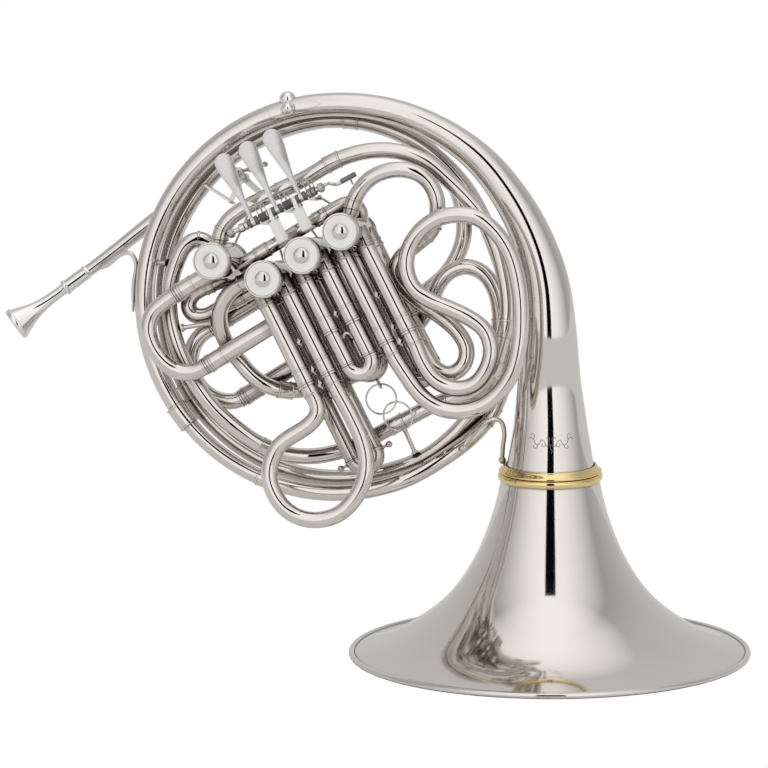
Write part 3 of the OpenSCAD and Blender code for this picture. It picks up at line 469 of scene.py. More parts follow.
def build_bell():
    line = course(FLARE, 3.0, 6)[:, [0, 2]]
    step = np.gradient(line, axis=0)
    inward = np.stack([-step[:, 1], step[:, 0]], 1)
    inward /= np.linalg.norm(inward, axis=1)[:, None]
    if inward[len(inward) // 2][0] > 0:
        inward = -inward
    inner = line + BELL_WALL * inward
    inner[-1][1] = JOINT
    x, z = RIM_BEAD_AT
    round_bead = np.radians(np.arange(170, -172, -9))
    bead = [(x + RIM_BEAD_R * math.cos(a), z + RIM_BEAD_R * math.sin(a)) for a in round_bead]
    notch = [(150.35, 3.3), (150.5, 2.2)]
    shape = Shape()
    spun(shape, [tuple(p) for p in line[::-1]] + notch + bead + [tuple(p) for p in inner[1:]], 288)
    finish_piece("spun_flare", shape, BELL, "bell", "bell_flare")
    ring = Shape()
    spun(ring, rounded(JOINT_RING, 2), 192)
    spun(ring, [(35.4, 139), (35.4, 149), (34.6, 149), (34.6, 139)], 96)
    finish_piece("joint_ring", ring, BRASS, "bell", "bell_collar")
    socket = Shape()
    spun(socket, rounded(SOCKET_RING, 2), 192)
    finish_piece("joint_socket", socket, BRASS, "horn_body", "bell_socket")

    mids, radii, _ = tail_surface()
    tail = Shape()
    sweep(tail, mids, radii, 96)
    finish_piece("bell_throat", tail, BELL, "horn_body", "bell_tail")
    collar = Shape()
    pts = in_plane(COIL, course(coil_turn(COIL_R, 215.4, 222.6, 3, 0), 1.0))
    ferrule(collar, pts, 0.2, lengths(pts)[-1] - 0.4, 7.6, 0.5, 0.6)
    finish_piece("tail_end_band", collar, NICKEL, "horn_body", "tail_ferrule")


def tail_surface():
    """The throat's course, its radii and the distance of each place along it."""
    route = in_plane(COIL, [p[:3] for p in TAIL])
    mids = course([[0, 0, 146]] + route.tolist(), 2.5, 10)
    at = lengths(mids)
    stations = [0.0] + [at[np.argmin(np.linalg.norm(mids - p, axis=1))] for p in route]
    return mids, softened(np.interp(at, stations, [34.2] + TAIL_RADII), 22), at


GUARD_START, GUARD_LENGTH, GUARD_POINT = 18, 40, 16
GUARD_MIDDLE, GUARD_HALF_ANGLE, GUARD_LIFT = 17, 36, 0.42


def build_guard():
    """Thin guard plate with a pointed end, laid round the front of the tube at the top of the coil."""
    mids, radii, at = tail_surface()
    top = at[np.argmax(mids[:, 2])]
    shape = Shape()
    rows = []
    tip = top + GUARD_START
    for s in np.linspace(tip, tip + GUARD_LENGTH, 40):
        mid = along(mids, [s])[0]
        way = unit(along(mids, [s + 1])[0] - along(mids, [s - 1])[0])
        r = float(np.interp(s, at, radii))
        width = GUARD_HALF_ANGLE * min(1.0, (s - tip + 0.4) / GUARD_POINT)
        up = unit(np.array([0, 0, 1.0]) - way[2] * way)
        front = np.cross(way, up) * (1 if np.cross(way, up)[1] < 0 else -1)
        turn = np.radians(GUARD_MIDDLE + np.linspace(-width, width, 25))
        ways = [math.sin(a) * up + math.cos(a) * front for a in turn]
        outer = [mid + (r + GUARD_LIFT) * w for w in ways]
        inner = [mid + (r - 0.15) * w for w in ways[::-1]]
        rows.append(np.array(outer + inner))
    shape.rings(rows)
    finish_piece("top_guard_plate", shape, BELL, "horn_body")


VINE = (
    ((0.6, 171.5), (2.4, 170), (4, 171.6), (5.4, 174.4), (7.6, 175), (8.6, 172.8), (10.4, 171), (12.6, 172.4),
     (14, 175.4), (16.4, 176.4), (18, 174.8)),
    ((4, 171.6), (5.6, 170), (7, 170.6), (6.6, 172.2)),
    ((10.4, 171), (11.6, 168.6), (13.6, 168.8), (13.2, 170.6)),
    ((14, 175.4), (13, 178), (14.4, 179.4), (15.8, 178.2)),
    ((0.6, 171.5), (1.6, 174), (0.8, 176.4), (2.6, 177.4), (3.6, 175.8)),
)
VINE_STALK = ((0, 164.6), (0.8, 167), (-0.6, 169.2), (0, 171.5))


def build_flourish():
    """A plain engraved vine round the front of the throat."""
    mids, radii, _ = tail_surface()
    mids, radii = mids[:30], radii[:30]
    shape = Shape()

    def line(points):
        out = []
        for side, height in course([[x, 0, z] for x, z in points], 0.4, 2)[:, [0, 2]]:
            r = float(np.interp(height, mids[:, 2], radii))
            turn = math.radians(-80) + side / r
            centre = [np.interp(height, mids[:, 2], mids[:, k]) for k in (0, 1)]
            out.append([centre[0] + r * math.cos(turn), centre[1] + r * math.sin(turn), height])
        sweep(shape, np.array(out), 0.2, 8)

    for side in (-1, 1):
        for stem in VINE:
            line([(side * x, z) for x, z in stem])
    line(VINE_STALK)
    finish_piece("throat_engraving", shape, SPRING, "horn_body")


# ---------- fixed branches ----------


def reaching(pts, before, after):
    """The course with straight ends added, so that it runs on into what it is soldered to."""
    steps_in = [pts[0] + unit(pts[0] - pts[1]) * d for d in np.arange(before, 0, -1.5)]
    steps_on = [pts[-1] + unit(pts[-1] - pts[-2]) * d for d in np.arange(1.5, after + 0.1, 1.5)]
    return np.array(steps_in + list(pts) + steps_on)


def branch(name, plane, route, node, bands, radius=BRANCH_R, finish=NICKEL, ends=(0, 0)):
    pts = in_plane(plane, reaching(course(route), *ends))
    total = lengths(pts)[-1]
    shape = Shape()
    sweep(shape, pts, radius, 36)
    for start, length in bands:
        ferrule(shape, pts, start if start >= 0 else total + start, length, radius)
    finish_piece(name, shape, finish, "horn_body", node)


VALVE_LINK = [
    [-243, -14, 300.7, 1], [-166, -14, 349.8], [-157, -13, 353], [-150.5, -11, 349], [-149, -9, 339]]


def build_branches():
    branch("outer_branch", COIL, FIRST_BRANCH, "first_branch",
           [(72, 13), (268, 14), (560, 12), (860, 13), (-16, 15)])
    branch("upper_valve_branch", VALVE, UPPER_BRANCH, "upper_branch",
           [(7, 9), (68, 13), (110, 12), (336, 13)], ends=(6, 0))
    branch("lower_valve_branch", VALVE, LOWER_BRANCH, "lower_branch",
           [(0.5, 11), (66, 12), (104, 12), (210, 12), (-14, 12)])
    branch("third_valve_pipe", VALVE, THIRD_VALVE_BRANCH, "third_valve_branch",
           [(9, 8), (121, 11), (-14, 13)], ends=(9, 0))
    branch("first_valve_pipe", VALVE, FIRST_VALVE_BRANCH, "first_valve_branch",
           [(7, 8), (124, 11), (232, 11), (-12, 11)], ends=(6, 0))
    branch("thumb_valve_pipe", VALVE, THUMB_CROOK, "thumb_valve_crook", [(13, 7), (-20, 9)], ends=(12, 4))
    branch("valve_link_pipe", VALVE, VALVE_LINK, "cross_tube", [(17, 11), (70, 11)], 5.4)


RECEIVER = [(3.95, 0.2), (5.3, 0), (5.9, 0.5), (6.1, 1.2), (6.1, 2.4), (5.8, 3.0), (5.4, 3.3), (5.3, 12),
            (5.25, 20.2), (5.7, 20.5), (5.75, 21.3), (5.2, 21.9), (4.85, 23.4), (4.7, 23.5)]
SHANK = [(3, 0), (3.9, 0), (3.9, 6), (3.9, 12), (3.9, 17.2), (4.5, 17.5), (4.6, 18.6), (4.15, 19.1)]
CUP_OUTSIDE = [(4.15, 19.3), (4.2, 24), (4.4, 30), (4.8, 36), (5.5, 41), (6.8, 46.5), (8.7, 52), (10.6, 57),
               (11.9, 60.3)]
CUP_RIM = [(12.6, 60.6), (12.95, 61.6), (12.8, 63.6), (12.2, 64.6), (11, 65), (9.6, 64.6), (8.9, 62.4)]
CUP_INSIDE = [(8.7, 62), (7.4, 55), (5.6, 49), (3.6, 44), (2.3, 40), (2.2, 36), (2.7, 18), (3, 0)]


def build_leadpipe():
    pts = in_plane(COIL, course(LEADPIPE))
    _, ways, _ = tangents(LEADPIPE)
    start = in_plane(COIL, [LEADPIPE[0]])[0]
    way = unit(in_plane(COIL, [np.array(LEADPIPE[0]) - ways[0]])[0] - start)
    at = lengths(pts)
    radii = np.interp(at, [0, 28, 63, 95], [4.6, 5.1, 5.7, BRANCH_R])
    shape = Shape()
    sweep(shape, pts, radii, 36)
    for s, length in ((74, 3.2), (150, 12), (330, 12)):
        ferrule(shape, pts, s, length, float(np.interp(s, at, radii)))
    ferrule(shape, pts, at[-1] - 14, 13, BRANCH_R)
    finish_piece("lead_pipe", shape, NICKEL, "horn_body", "leadpipe")
    receiver = Shape()
    turned(receiver, RECEIVER, start + 20 * way, -way, 64)
    finish_piece("receiver_sleeve", receiver, SILVER, "horn_body", "mouthpiece_receiver")
    piece = Shape()
    cup = [tuple(p) for part in (CUP_OUTSIDE, CUP_RIM, CUP_INSIDE) for p in rounded(part, 2)]
    turned(piece, SHANK + cup, start + 3 * way, way, 96)
    finish_piece("cup_mouthpiece", piece, SILVER, "mouthpiece", "mouthpiece")


# ---------- valves ----------


def valve_point(name, back=0.0):
    return VALVES[name] + back * BACK


def vp(points):
    return in_plane(VALVE, points)


VALVE_BACK = unit(in_plane(VALVE, [[0, 1.0, 0]])[0] - in_plane(VALVE, [[0, 0, 0.0]])[0])


CASING = [(12.4, 0), (14.3, 0), (14.6, 0.4), (14.6, 4.6), (14.2, 5.0),
          (14.2, 66.8), (14.6, 67.2), (14.6, 71.6), (14.2, 72), (12.4, 72)]
VALVE_LEG = [(0, 7.1), (9.4, 7.1), (9.6, 7.75), (10.6, 7.75), (10.8, 7.15),
             (13.9, 7.15), (14.1, 7.75), (15.2, 7.75), (15.6, 7.2), (16.4, 6.9)]
CAP_DISC = [(0, 0.02), (6.2, 0.02), (6.3, 0), (12.7, 0), (12.8, 0.3)]
CAP_RIM = [(12.75, 0.9), (12.85, 0.35), (13.1, 0.3), (13.2, 0.02), (13.8, 0.0), (14.15, 0.15), (14.35, 0.6),
           (14.35, 1.3), (14.1, 1.45), (14.1, 1.7), (14.35, 1.85), (14.35, 3.0), (14.0, 3.3)]
DOME_R, DOME_H = 6.15, 2.7


def build_valves():
    for name in VALVES:
        casing = Shape()
        start = vp([valve_point(name, CASING_FRONT)])[0]
        turned(casing, CASING, start, VALVE_BACK, 96, looped=True)
        if name != "thumb":
            for level in (FRONT, REAR):
                for side in (-1, 1):
                    foot = valve_point(name, level) + side * LEG_HALF * ACROSS
                    pts = vp([foot + t * DOWN for t in np.linspace(2, 18.4, 12)])
                    profiled(casing, pts, VALVE_LEG)
        finish_piece(name + "_valve_body", casing, SHADED_NICKEL, "horn_body", name + "_casing")

    caps, rims, domes = Shape(), Shape(), Shape()
    for name in VALVES:
        front = vp([valve_point(name, CASING_FRONT - 3.6)])[0]
        turned(caps, CAP_DISC, front, VALVE_BACK, 128)
        turned(rims, CAP_RIM, front, VALVE_BACK, 128)
        arc = np.linspace(0.02, math.pi / 2, 20)
        turned(domes, [(DOME_R * math.sin(a), -DOME_H * math.cos(a)) for a in arc], front, VALVE_BACK, 72)
    finish_piece("cap_discs", caps, SATIN, "horn_body", "valve_caps")
    finish_piece("cap_rims", rims, NICKEL, "horn_body")
    finish_piece("cap_domes", domes, NICKEL, "horn_body")


# ---------- sleeves and slides ----------


def sleeve(shape, start, stop):
    length = float(np.linalg.norm(stop - start))
    pts = vp([start + (stop - start) * t for t in np.linspace(0, 1, max(3, int(length / 3)))])
    r, b = SLEEVE_R, SLEEVE_R + 0.62
    profiled(shape, pts, [
        (0, r), (length - 14.4, r), (length - 14.2, b), (length - 13.2, b), (length - 13.0, r + 0.12),
        (length - 3.6, r + 0.12), (length - 3.3, b), (length - 2.3, b), (length - 2.0, r + 0.2),
        (length - 1.4, r + 0.2), (length - 1.2, b + 0.1), (length - 0.2, b + 0.1), (length, r + 0.1),
        (length, 6.36)], 32)


def leg(name, side, level, t):
    return valve_point(name, level) + side * LEG_HALF * ACROSS + t * DOWN


SLEEVE_ENDS = {"first": 87, "second": 62, "third": 91}
REAR_SLEEVE_ENDS = {"first": 96, "second": 66, "third": 78}
REAR_STOPS = {"first": 151, "second": 91, "third": 116}
FRONT_STOPS = {"first": 92, "second": 90.5, "third": 98}
GRIP = 40


def stay(shape, name, level, t, half_gap, half_height, thick=1.5):
    """Flat kite-shaped stay soldered between the two legs of a slide."""
    middle = valve_point(name, level) + t * DOWN
    shoulder = half_gap * 0.45
    upper = [(-half_gap, 0.9), (-shoulder, 1.5), (0, half_height), (shoulder, 1.5), (half_gap, 0.9)]
    outline = upper + [(x, -y) for x, y in upper[::-1]]
    place = Matrix(((ACROSS[0], -DOWN[0], 0, middle[0]), (0, 0, -1, middle[1] + thick / 2),
                    (ACROSS[2], -DOWN[2], 0, middle[2]), (0, 0, 0, 1)))
    plate(shape, outline, thick, VALVE @ place, 0.3)


def build_sleeves():
    front, rear = Shape(), Shape()
    for name in FINGERS:
        for side in (-1, 1):
            sleeve(front, leg(name, side, FRONT, 17.1), leg(name, side, FRONT, SLEEVE_ENDS[name]))
            sleeve(rear, leg(name, side, REAR, 17.1), leg(name, side, REAR, REAR_SLEEVE_ENDS[name]))
    for shape, crook, upper, lower in ((front, MAIN_CROOK, 33, 64), (rear, REAR_CROOK, 44, 54)):
        for end, back in ((crook[0], upper), (crook[-1], lower)):
            end = np.array(end, float)
            sleeve(shape, end - back * ROW_OUT, end)
    for name in ("first", "third"):
        stay(front, name, FRONT, SLEEVE_ENDS[name] - 9, 2.6, 4.2)
        stay(front, name, FRONT, 54, 2.6, 3.6)
    stay(front, "second", FRONT, 50, 2.6, 3.4)
    finish_piece("front_outer_slides", front, NICKEL, "horn_body", "front_sleeves")
    finish_piece("rear_outer_slides", rear, SHADED_NICKEL, "horn_body", "rear_sleeves")


def slide_path(first_leg, route, last_leg):
    """Straight leg, the bends, and the other straight leg, as one course in the valve plane."""
    a0, a1 = first_leg
    b1, b0 = last_leg
    way_a, way_b = unit(a1 - a0), unit(b1 - b0)
    start, finish = [[*a0, 1], [*(a1 + 1.5 * way_a)]], [[*(b1 + 1.5 * way_b), 1], [*b0]]
    return course(start + [list(p) for p in route] + finish)


def loop_slide(name, route, order):
    mouth, stop = SLEEVE_ENDS[name], FRONT_STOPS[name]
    first_in, first_out = (leg(name, order[0], FRONT, t) for t in (mouth - GRIP, stop))
    last_out, last_in = (leg(name, order[1], FRONT, t) for t in (stop, mouth - GRIP))
    pts = vp(slide_path((first_in, first_out), route, (last_out, last_in)))
    total = lengths(pts)[-1]
    run = stop - mouth + GRIP
    shape = Shape()
    sweep(shape, pts, SLIDE_R, 40)
    for start in (run + 0.5, total - run - 3.0):
        ferrule(shape, pts, start, 2.6, SLIDE_R, 0.1, 0.4)
    stay(shape, name, FRONT, mouth + 3.4, 3.1, 4.4)
    return shape


def crook_slide(name, crook, upper_in, lower_in, node):
    upper, lower = np.array(crook[0], float), np.array(crook[-1], float)
    first_leg = (upper - upper_in * ROW_OUT, upper + 2.5 * ROW_OUT)
    last_leg = (lower + 2.5 * ROW_OUT, lower - lower_in * ROW_OUT)
    pts = vp(slide_path(first_leg, crook[1:-1], last_leg))
    total = lengths(pts)[-1]
    shape = Shape()
    sweep(shape, pts, SLIDE_R, 40)
    for start in (upper_in + 1.0, total - lower_in - 4.0):
        ferrule(shape, pts, start, 3.0, SLIDE_R, 0.15, 0.5)
    finish_piece(name, shape, NICKEL, node, node)


def plain_slide(shape, name, level, mouth, stop):
    half_turn = np.radians(np.arange(0, 181, 7.5))
    middle = leg(name, 0, level, stop)
    bend = [middle + LEG_HALF * (-math.cos(a) * ACROSS + math.sin(a) * DOWN) for a in half_turn]
    a0, b0 = leg(name, -1, level, mouth - GRIP), leg(name, 1, level, mouth - GRIP)
    n = max(4, int((stop - mouth + GRIP) / 2.5))
    legs = [a0 + (bend[0] - a0) * t for t in np.linspace(0, 1, n)[:-1]]
    back = [bend[-1] + (b0 - bend[-1]) * t for t in np.linspace(0, 1, n)[1:]]
    pts = vp(np.array(legs + bend + back))
    total, run = lengths(pts)[-1], stop - mouth + GRIP
    sweep(shape, pts, SLIDE_R, 40)
    for start in (run - 2.4, total - run - 0.6):
        ferrule(shape, pts, start, 3.0, SLIDE_R, 0.12, 0.45)


def build_slides():
    crook_slide("main_tuning_crook", MAIN_CROOK, 24, 45, "main_tuning_slide")
    crook_slide("rear_tuning_crook", REAR_CROOK, 30, 28, "rear_tuning_slide")
    for name, route, order in (("first", FIRST_LOOP, (-1, 1)), ("third", THIRD_LOOP, (1, -1))):
        loop, node = loop_slide(name, route, order), name + "_slide"
        finish_piece(name + "_slide_loop", loop, NICKEL, node, node)
    second = Shape()
    plain_slide(second, "second", FRONT, SLEEVE_ENDS["second"], FRONT_STOPS["second"])
    middle = leg("second", 0, FRONT, SLEEVE_ENDS["second"] + 7)
    arch = [middle + 3.2 * u * ACROSS - 2.6 * (1 - u * u) * DOWN for u in np.linspace(-1, 1, 13)]
    sweep(second, vp(np.array(arch)), 1.5, 16)
    finish_piece("second_slide_bow", second, NICKEL, "second_slide", "second_slide")
    for name in FINGERS:
        shape = Shape()
        mouth, stop = REAR_SLEEVE_ENDS[name], REAR_STOPS[name]
        plain_slide(shape, name, REAR, mouth, stop)
        stay(shape, name, REAR, mouth + 4, 3.1, 3.2)
        if name == "first":
            for side in (-1, 1):
                foot = vp([leg(name, side, REAR, stop + 1) + side * 6.2 * ACROSS])[0]
                out = unit(vp([leg(name, side, REAR, stop + 1) + side * 9 * ACROSS])[0] - foot)
                button = [(2.55 * math.sin(a), 5.5 - 2.55 * math.cos(a)) for a in np.linspace(0.5, 3.13, 14)]
                stem = [(0.1, 0), (1.9, 0), (1.2, 0.7), (1.0, 1.6), (1.1, 3.0)]
                turned(shape, stem + button, foot, out, 32)
        if name == "second":
            lug = leg(name, 0, REAR, stop + LEG_HALF + 6.3)
            place = Matrix(((0, DOWN[0], -ACROSS[0], lug[0]), (1, 0, 0, lug[1]),
                            (0, DOWN[2], -ACROSS[2], lug[2]), (0, 0, 0, 1)))
            r, foot_h = 2.9, 3.6
            arc = [(-r * math.cos(a), foot_h + r * math.sin(a)) for a in np.linspace(0.3, 2.84, 9)]
            eye = [(-r, 0), (-r, foot_h)] + arc + [(r, foot_h), (r, 0)]
            sweep(shape, in_plane(VALVE @ place, [(x, y, 0) for x, y in eye]), 0.85, 12)
        finish_piece(name + "_rear_slide_bow", shape, SHADED_NICKEL, name + "_rear_slide", name + "_rear_slide")


# ---------- levers ----------

AXLE_TURN = 28.5
AXLE_WAY = turned_about(AXLE_TURN)
AXLE_FROM = np.array([-240, -44, 328.0])
HUB_START, HUB_STEP = 15.5, 20.8
HUBS = {name: HUB_START + i * HUB_STEP for i, name in enumerate(FINGERS)}


def on_axle(place_along):
    at = AXLE_FROM + place_along * AXLE_WAY
    return VALVE @ Matrix.Translation(Vector(at)) @ Matrix.Rotation(-math.radians(AXLE_TURN), 4, "Y")


def lathe(shape, profile, place, origin, axis, segments=40, looped=False):
    o = np.array(place @ Vector(origin))
    a = unit(np.array(place.to_3x3() @ Vector(axis)))
    turned(shape, profile, o, a, segments, looped)


def wire(shape, points, place, r=0.5, soften=2, sides=10):
    pts = softened(course(points, 0.8, soften), soften)
    sweep(shape, in_plane(place, pts), r, sides)


PADDLE = [(3.0, 1.55), (12, 1.7), (18, 2.2), (24, 3.1), (30, 4.3), (36, 5.5), (42, 6.6), (47, 7.2),
          (50.5, 7.35)]


TIP_R, TIP_AT = 7.35, 50.5


def on_hub(shape, profile, place, segments=48):
    """Ring turned round the levers' axle."""
    lathe(shape, profile, place, (0, 0, 0), (1, 0, 0), segments, True)


def build_levers():
    arc = np.linspace(0.12, math.pi - 0.12, 22)
    tip = [(TIP_R * math.cos(a), TIP_AT + TIP_R * math.sin(a)) for a in arc]
    right = softened(np.array([(w, z) for z, w in PADDLE]), 1).tolist()
    outline = right + tip + [(-x, z) for x, z in right[::-1]]
    for name, hub in HUBS.items():
        place = on_axle(hub)
        paddle = Shape()
        plate(paddle, outline, 1.6, moved(place, 0, -1.6, 0) @ STOOD_UP, 0.4)
        finish_piece(name + "_finger_paddle", paddle, BRUSHED, name + "_lever", name + "_lever")
        arm = Shape()
        on_hub(arm, [(2.1, -1.8), (3.1, -1.8), (3.5, -1.5), (3.5, 1.5), (3.1, 1.8), (2.1, 1.8)], place)
        block(arm, (-1.4, -2.8, -1.4), (1.4, 0.3, 4.6), place)
        plate(arm, [(-1.3, 2.0), (1.3, 2.0), (1.3, 70), (-1.3, 70)], 3, moved(place, 0, 0, -1.5), 0.5)
        link_pin = [(0.01, 0), (0.9, 0), (0.9, 3.6), (0.6, 3.9), (0.01, 3.9)]
        lathe(arm, link_pin, place, (0, 68, 0), (1, 0, 0), 24)
        finish_piece(name + "_lever_arm", arm, NICKEL, name + "_lever")
        barrel = Shape()
        for lo, hi in ((-4.0, -1.9), (1.9, 4.0)):
            profile = [(2.1, lo), (3.5, lo), (3.75, lo + 0.25), (3.75, hi - 0.25), (3.5, hi), (2.1, hi)]
            on_hub(barrel, profile, place)
        finish_piece(name + "_lever_barrel", barrel, SPRING, name + "_lever")

    coils, hooks = Shape(), Shape()
    for name, hub in HUBS.items():
        place = on_axle(hub + 4.8)
        turns = np.linspace(0, 6.2 * 2 * math.pi, 200)
        pts = np.stack([0.55 + 7.1 * turns / turns[-1], 3.15 * np.cos(turns), 3.15 * np.sin(turns)], 1)
        sweep(coils, in_plane(place, pts), 0.55, 10)
        for x, width, drop in ((1.3, 3.4, 0), (5.6, 2.4, 2.15)):
            up_side = [[x, -1.5, 3.0], [x, -1.8, 8], [x + 0.6, -1.8, 11.6 - drop]]
            far = x + width
            down_side = [[far, -1.8, 11.8 - drop], [far, -1.4, 7], [far - 0.4, -0.6, 3.3]]
            wire(hooks, up_side + down_side, place, 0.42)
    finish_piece("lever_return_springs", coils, SPRING, "horn_body", "lever_springs")
    finish_piece("spring_hooks", hooks, STEEL, "horn_body")

    axle, ends = Shape(), Shape()
    place = on_axle(0)
    lathe(axle, [(0.01, -2), (2, -2), (2, 72), (0.01, 72)], place, (0, 0, 0), (1, 0, 0), 32)
    for x0, x1 in ((3.5, 7.5), (8.0, 10.8), (27.2, 28.6), (48.6, 49.4), (62.6, 65.4), (66.2, 69)):
        collar = [(2.1, x0), (3.2, x0), (3.5, x0 + 0.3), (3.5, x1 - 0.3), (3.2, x1), (2.1, x1)]
        on_hub(axle, collar, place, 40)
    for foot, way in ((-1.2, -1), (71.2, 1)):
        profile = [(0.01, 0), (2.4, 0), (2.6, 0.8), (3.5, 1.0)]
        profile += [(3.65 + 0.12 * (i % 2), 1.1 + 0.22 * i) for i in range(14)]
        profile += [(3.2, 4.6), (2.2, 5.4), (0.9, 5.8), (0.01, 5.9)]
        lathe(ends, profile, place, (foot, 0, 0), (way, 0, 0), 48)
    finish_piece("axle_and_collars", axle, NICKEL, "horn_body", "lever_axle")
    finish_piece("axle_end_screws", ends, STEEL, "horn_body")

    brackets, screws = Shape(), Shape()
    for i in (0, 1):
        place = on_axle(HUB_START + (i + 0.72) * HUB_STEP)
        upright = [(-4.4, -24.6), (4.4, -24.6), (4.4, -6.4), (-4.4, -6.4)]
        plate(brackets, upright, 2.2, moved(place, 0, -4.0, 0) @ STOOD_UP, 0.4)
        block(brackets, (-1.5, -6, -8), (1.5, 3.8, -1), place)
        block(brackets, (-4.4, -4.1, -25), (4.4, 9.9, -23), place)
        on_hub(brackets, [(2.05, -1.5), (3.6, -1.5), (4, -1.2), (4, 1.2), (3.6, 1.5), (2.05, 1.5)], place, 40)
        for x in (-3.6, 3.6):
            head = [(0.01, 0), (1.5, 0), (1.5, 2.2), (1.2, 2.8), (0.01, 3.0)]
            shank = [(0.01, -2.6), (0.75, -2.6), (0.75, 0.4), (0.01, 0.4)]
            lathe(screws, head, place, (x, -4.6, -5.4), (0, -1, 0), 24)
            lathe(screws, shank, place, (x, -5.4, -5.4), (0, 0, 1), 16)
    finish_piece("axle_brackets", brackets, SATIN, "horn_body", "lever_brackets")
    finish_piece("bracket_screws", screws, STEEL, "horn_body")


# ---------- braces, rings and fittings ----------


SMALL_STAYS = (((-312, 14, 302), (-301, 3, 302)), ((-286, -5, 252.5), (-263.5, -8, 257)),
               ((-116, 26, 181), (-107, 27.5, 162.5)))


def build_stays():
    shape = Shape()
    pts = in_plane(COIL, course(LEADPIPE_BRACE, 1.5))
    at = lengths(pts)
    radii = np.interp(at, [0, 3, 9, 26, at[-1] - 16, at[-1]], [0.4, 1.4, 2.2, 1.8, 1.7, 0.9])
    sweep(shape, pts, radii, 24)
    finish_piece("lead_pipe_stay", shape, NICKEL, "horn_body", "leadpipe_brace")
    shape = Shape()
    pts = in_plane(COIL, course(BELL_BRACE, 1.5))
    sweep(shape, pts, 1.8, 24)
    for p in (pts[0], pts[-1]):
        ball(shape, p, 3.0)
    finish_piece("bell_stay", shape, NICKEL, "horn_body", "bell_brace")
    shape = Shape()
    foot = [(0.01, -0.5), (3.4, -0.5), (3.2, 0.6), (2.0, 1.6), (1.7, 3)]
    for ends in SMALL_STAYS:
        a, b = vp(ends)
        length = float(np.linalg.norm(b - a))
        turned(shape, foot + [(r, length - h) for r, h in foot[::-1]], a, b - a, 32)
    finish_piece("small_stays", shape, NICKEL, "horn_body", "tube_braces")
    shape = Shape()
    ball(shape, in_plane(COIL, [[-211, -2, 431]])[0], 6.4)
    ball(shape, in_plane(COIL, [[-209, -11, 423.5]])[0], 5.0)
    finish_piece("top_knobs", shape, SILVER, "horn_body", "top_fitting")


def build_thumb_pivot():
    knob, arm = Shape(), Shape()
    knurl = [(0.01, 0), (2.6, 0), (3.2, 0.4)]
    knurl += [(3.75 + 0.13 * (i % 2), 0.6 + 0.28 * i) for i in range(14)]
    knurl += [(3.2, 4.9), (2.0, 5.6), (0.8, 5.9), (0.01, 6)]
    pivot, end = vp([[-246.5, -5.4, 373.6], [-226, -6, 380.2]])
    turned(knob, knurl, pivot, -VALVE_BACK, 48)
    plain = [(0.01, -3), (1.9, -3), (2.1, -2.6), (2.1, 2.2), (1.7, 2.8), (0.01, 2.9)]
    turned(knob, plain, end, -VALVE_BACK, 32)
    place = VALVE @ Matrix.Translation((-246.5, -6, 373.6)) @ Matrix.Rotation(-math.radians(18), 4, "Y")
    bar = [(2, -1.5), (22.4, -1.2), (22.4, 1.2), (2, 1.5)]
    plate(arm, bar, 2.0, moved(place, 0, 2, 0) @ STOOD_UP, 0.4)
    block(arm, (8, -2.4, -2.6), (13, 2.4, 2.8), place, 0.4)
    finish_piece("thumb_pivot_screws", knob, STEEL, "horn_body")
    finish_piece("thumb_pivot_arm", arm, NICKEL, "horn_body")


def build_lever_rest():
    rest, grip = Shape(), Shape()
    place = on_axle(77)
    wire_pts = [[-1, 0.5, 0], [3.5, 0.5, 0.6], [6.5, 1.5, -1.8], [10, 2, -3.4], [13.5, 2, -3.0]]
    sweep(rest, in_plane(place, course(wire_pts, 0.8)), 1.35, 16)
    finish_piece("lever_rest_arm", rest, NICKEL, "horn_body")
    notches = [(0.01, 0), (1.7, 0)]
    notches += [(1.95 + 0.12 * (i % 2), 0.3 + 0.4 * i) for i in range(31)]
    notches += [(1.7, 13), (0.01, 13.1)]
    lathe(grip, notches, place, (12.5, 2, -2.8), (1, 0, 0.02), 32)
    lathe(grip, [(0.01, 0), (0.6, 0), (0.6, 5.2), (0.01, 5.4)], place, (20, 2, -3.5), (0, 0, -1), 12)
    finish_piece("lever_rest_grip", grip, SPRING, "horn_body")


PULL_RING_R, PULL_WIRE_R = 11.6, 0.75


def build_pull_rings():
    lug_hole = leg("second", 0, REAR, REAR_STOPS["second"] + LEG_HALF + SLIDE_R + 0.15 + 3.3)
    upright = moved(VALVE, *lug_hole) @ Matrix.Rotation(-TILT, 4, "X")
    upper = Vector((1.5, 0, -11.45))
    lower = upper + Vector((13, 0, -13))
    for name, mid, tilt in (("upper", upper, -9), ("lower", lower, 9)):
        place = moved(upright, *mid) @ Matrix.Rotation(math.radians(tilt), 4, lower - upper) @ STOOD_UP
        ring = Shape()
        turn = np.linspace(0, 2 * math.pi, 72, endpoint=False)
        circle = PULL_RING_R * np.stack([np.cos(turn), np.sin(turn), 0 * turn], 1)
        sweep(ring, in_plane(place, circle), PULL_WIRE_R, 16, looped=True)
        finish_piece(name + "_wire_ring", ring, SILVER, "pull_rings", name + "_pull_ring")


build_bell()
build_branches()
build_leadpipe()
build_valves()
build_sleeves()
build_slides()
build_levers()
build_stays()
build_thumb_pivot()
build_lever_rest()
build_guard()
build_flourish()
build_pull_rings()

LOOK_OF = {}
for group, finish in (
    (("thumb_rotor", "first_rotor", "second_rotor", "third_rotor"), "rotor_brass"),
    (("thumb_stop_arm", "first_stop_arm", "second_stop_arm", "third_stop_arm", "thumb_post"), STEEL),
    (("first_link", "second_link", "third_link", "thumb_link"), STEEL),
    (("stop_corks",), "cork"),
    (("bearing_plates", "thumb_lever"), BRUSHED),
):
    for node in group:
        LOOK_OF[node] = finish
for name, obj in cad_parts.items():
    if not obj.hide_render:
        obj.data.materials.clear()
        obj.data.materials.append(MATERIALS[LOOK_OF.get(name, NICKEL)])
        obj.data.shade_smooth()
        obj.data.set_sharp_from_angle(angle=math.radians(32))

# ---------- room, light and camera ----------

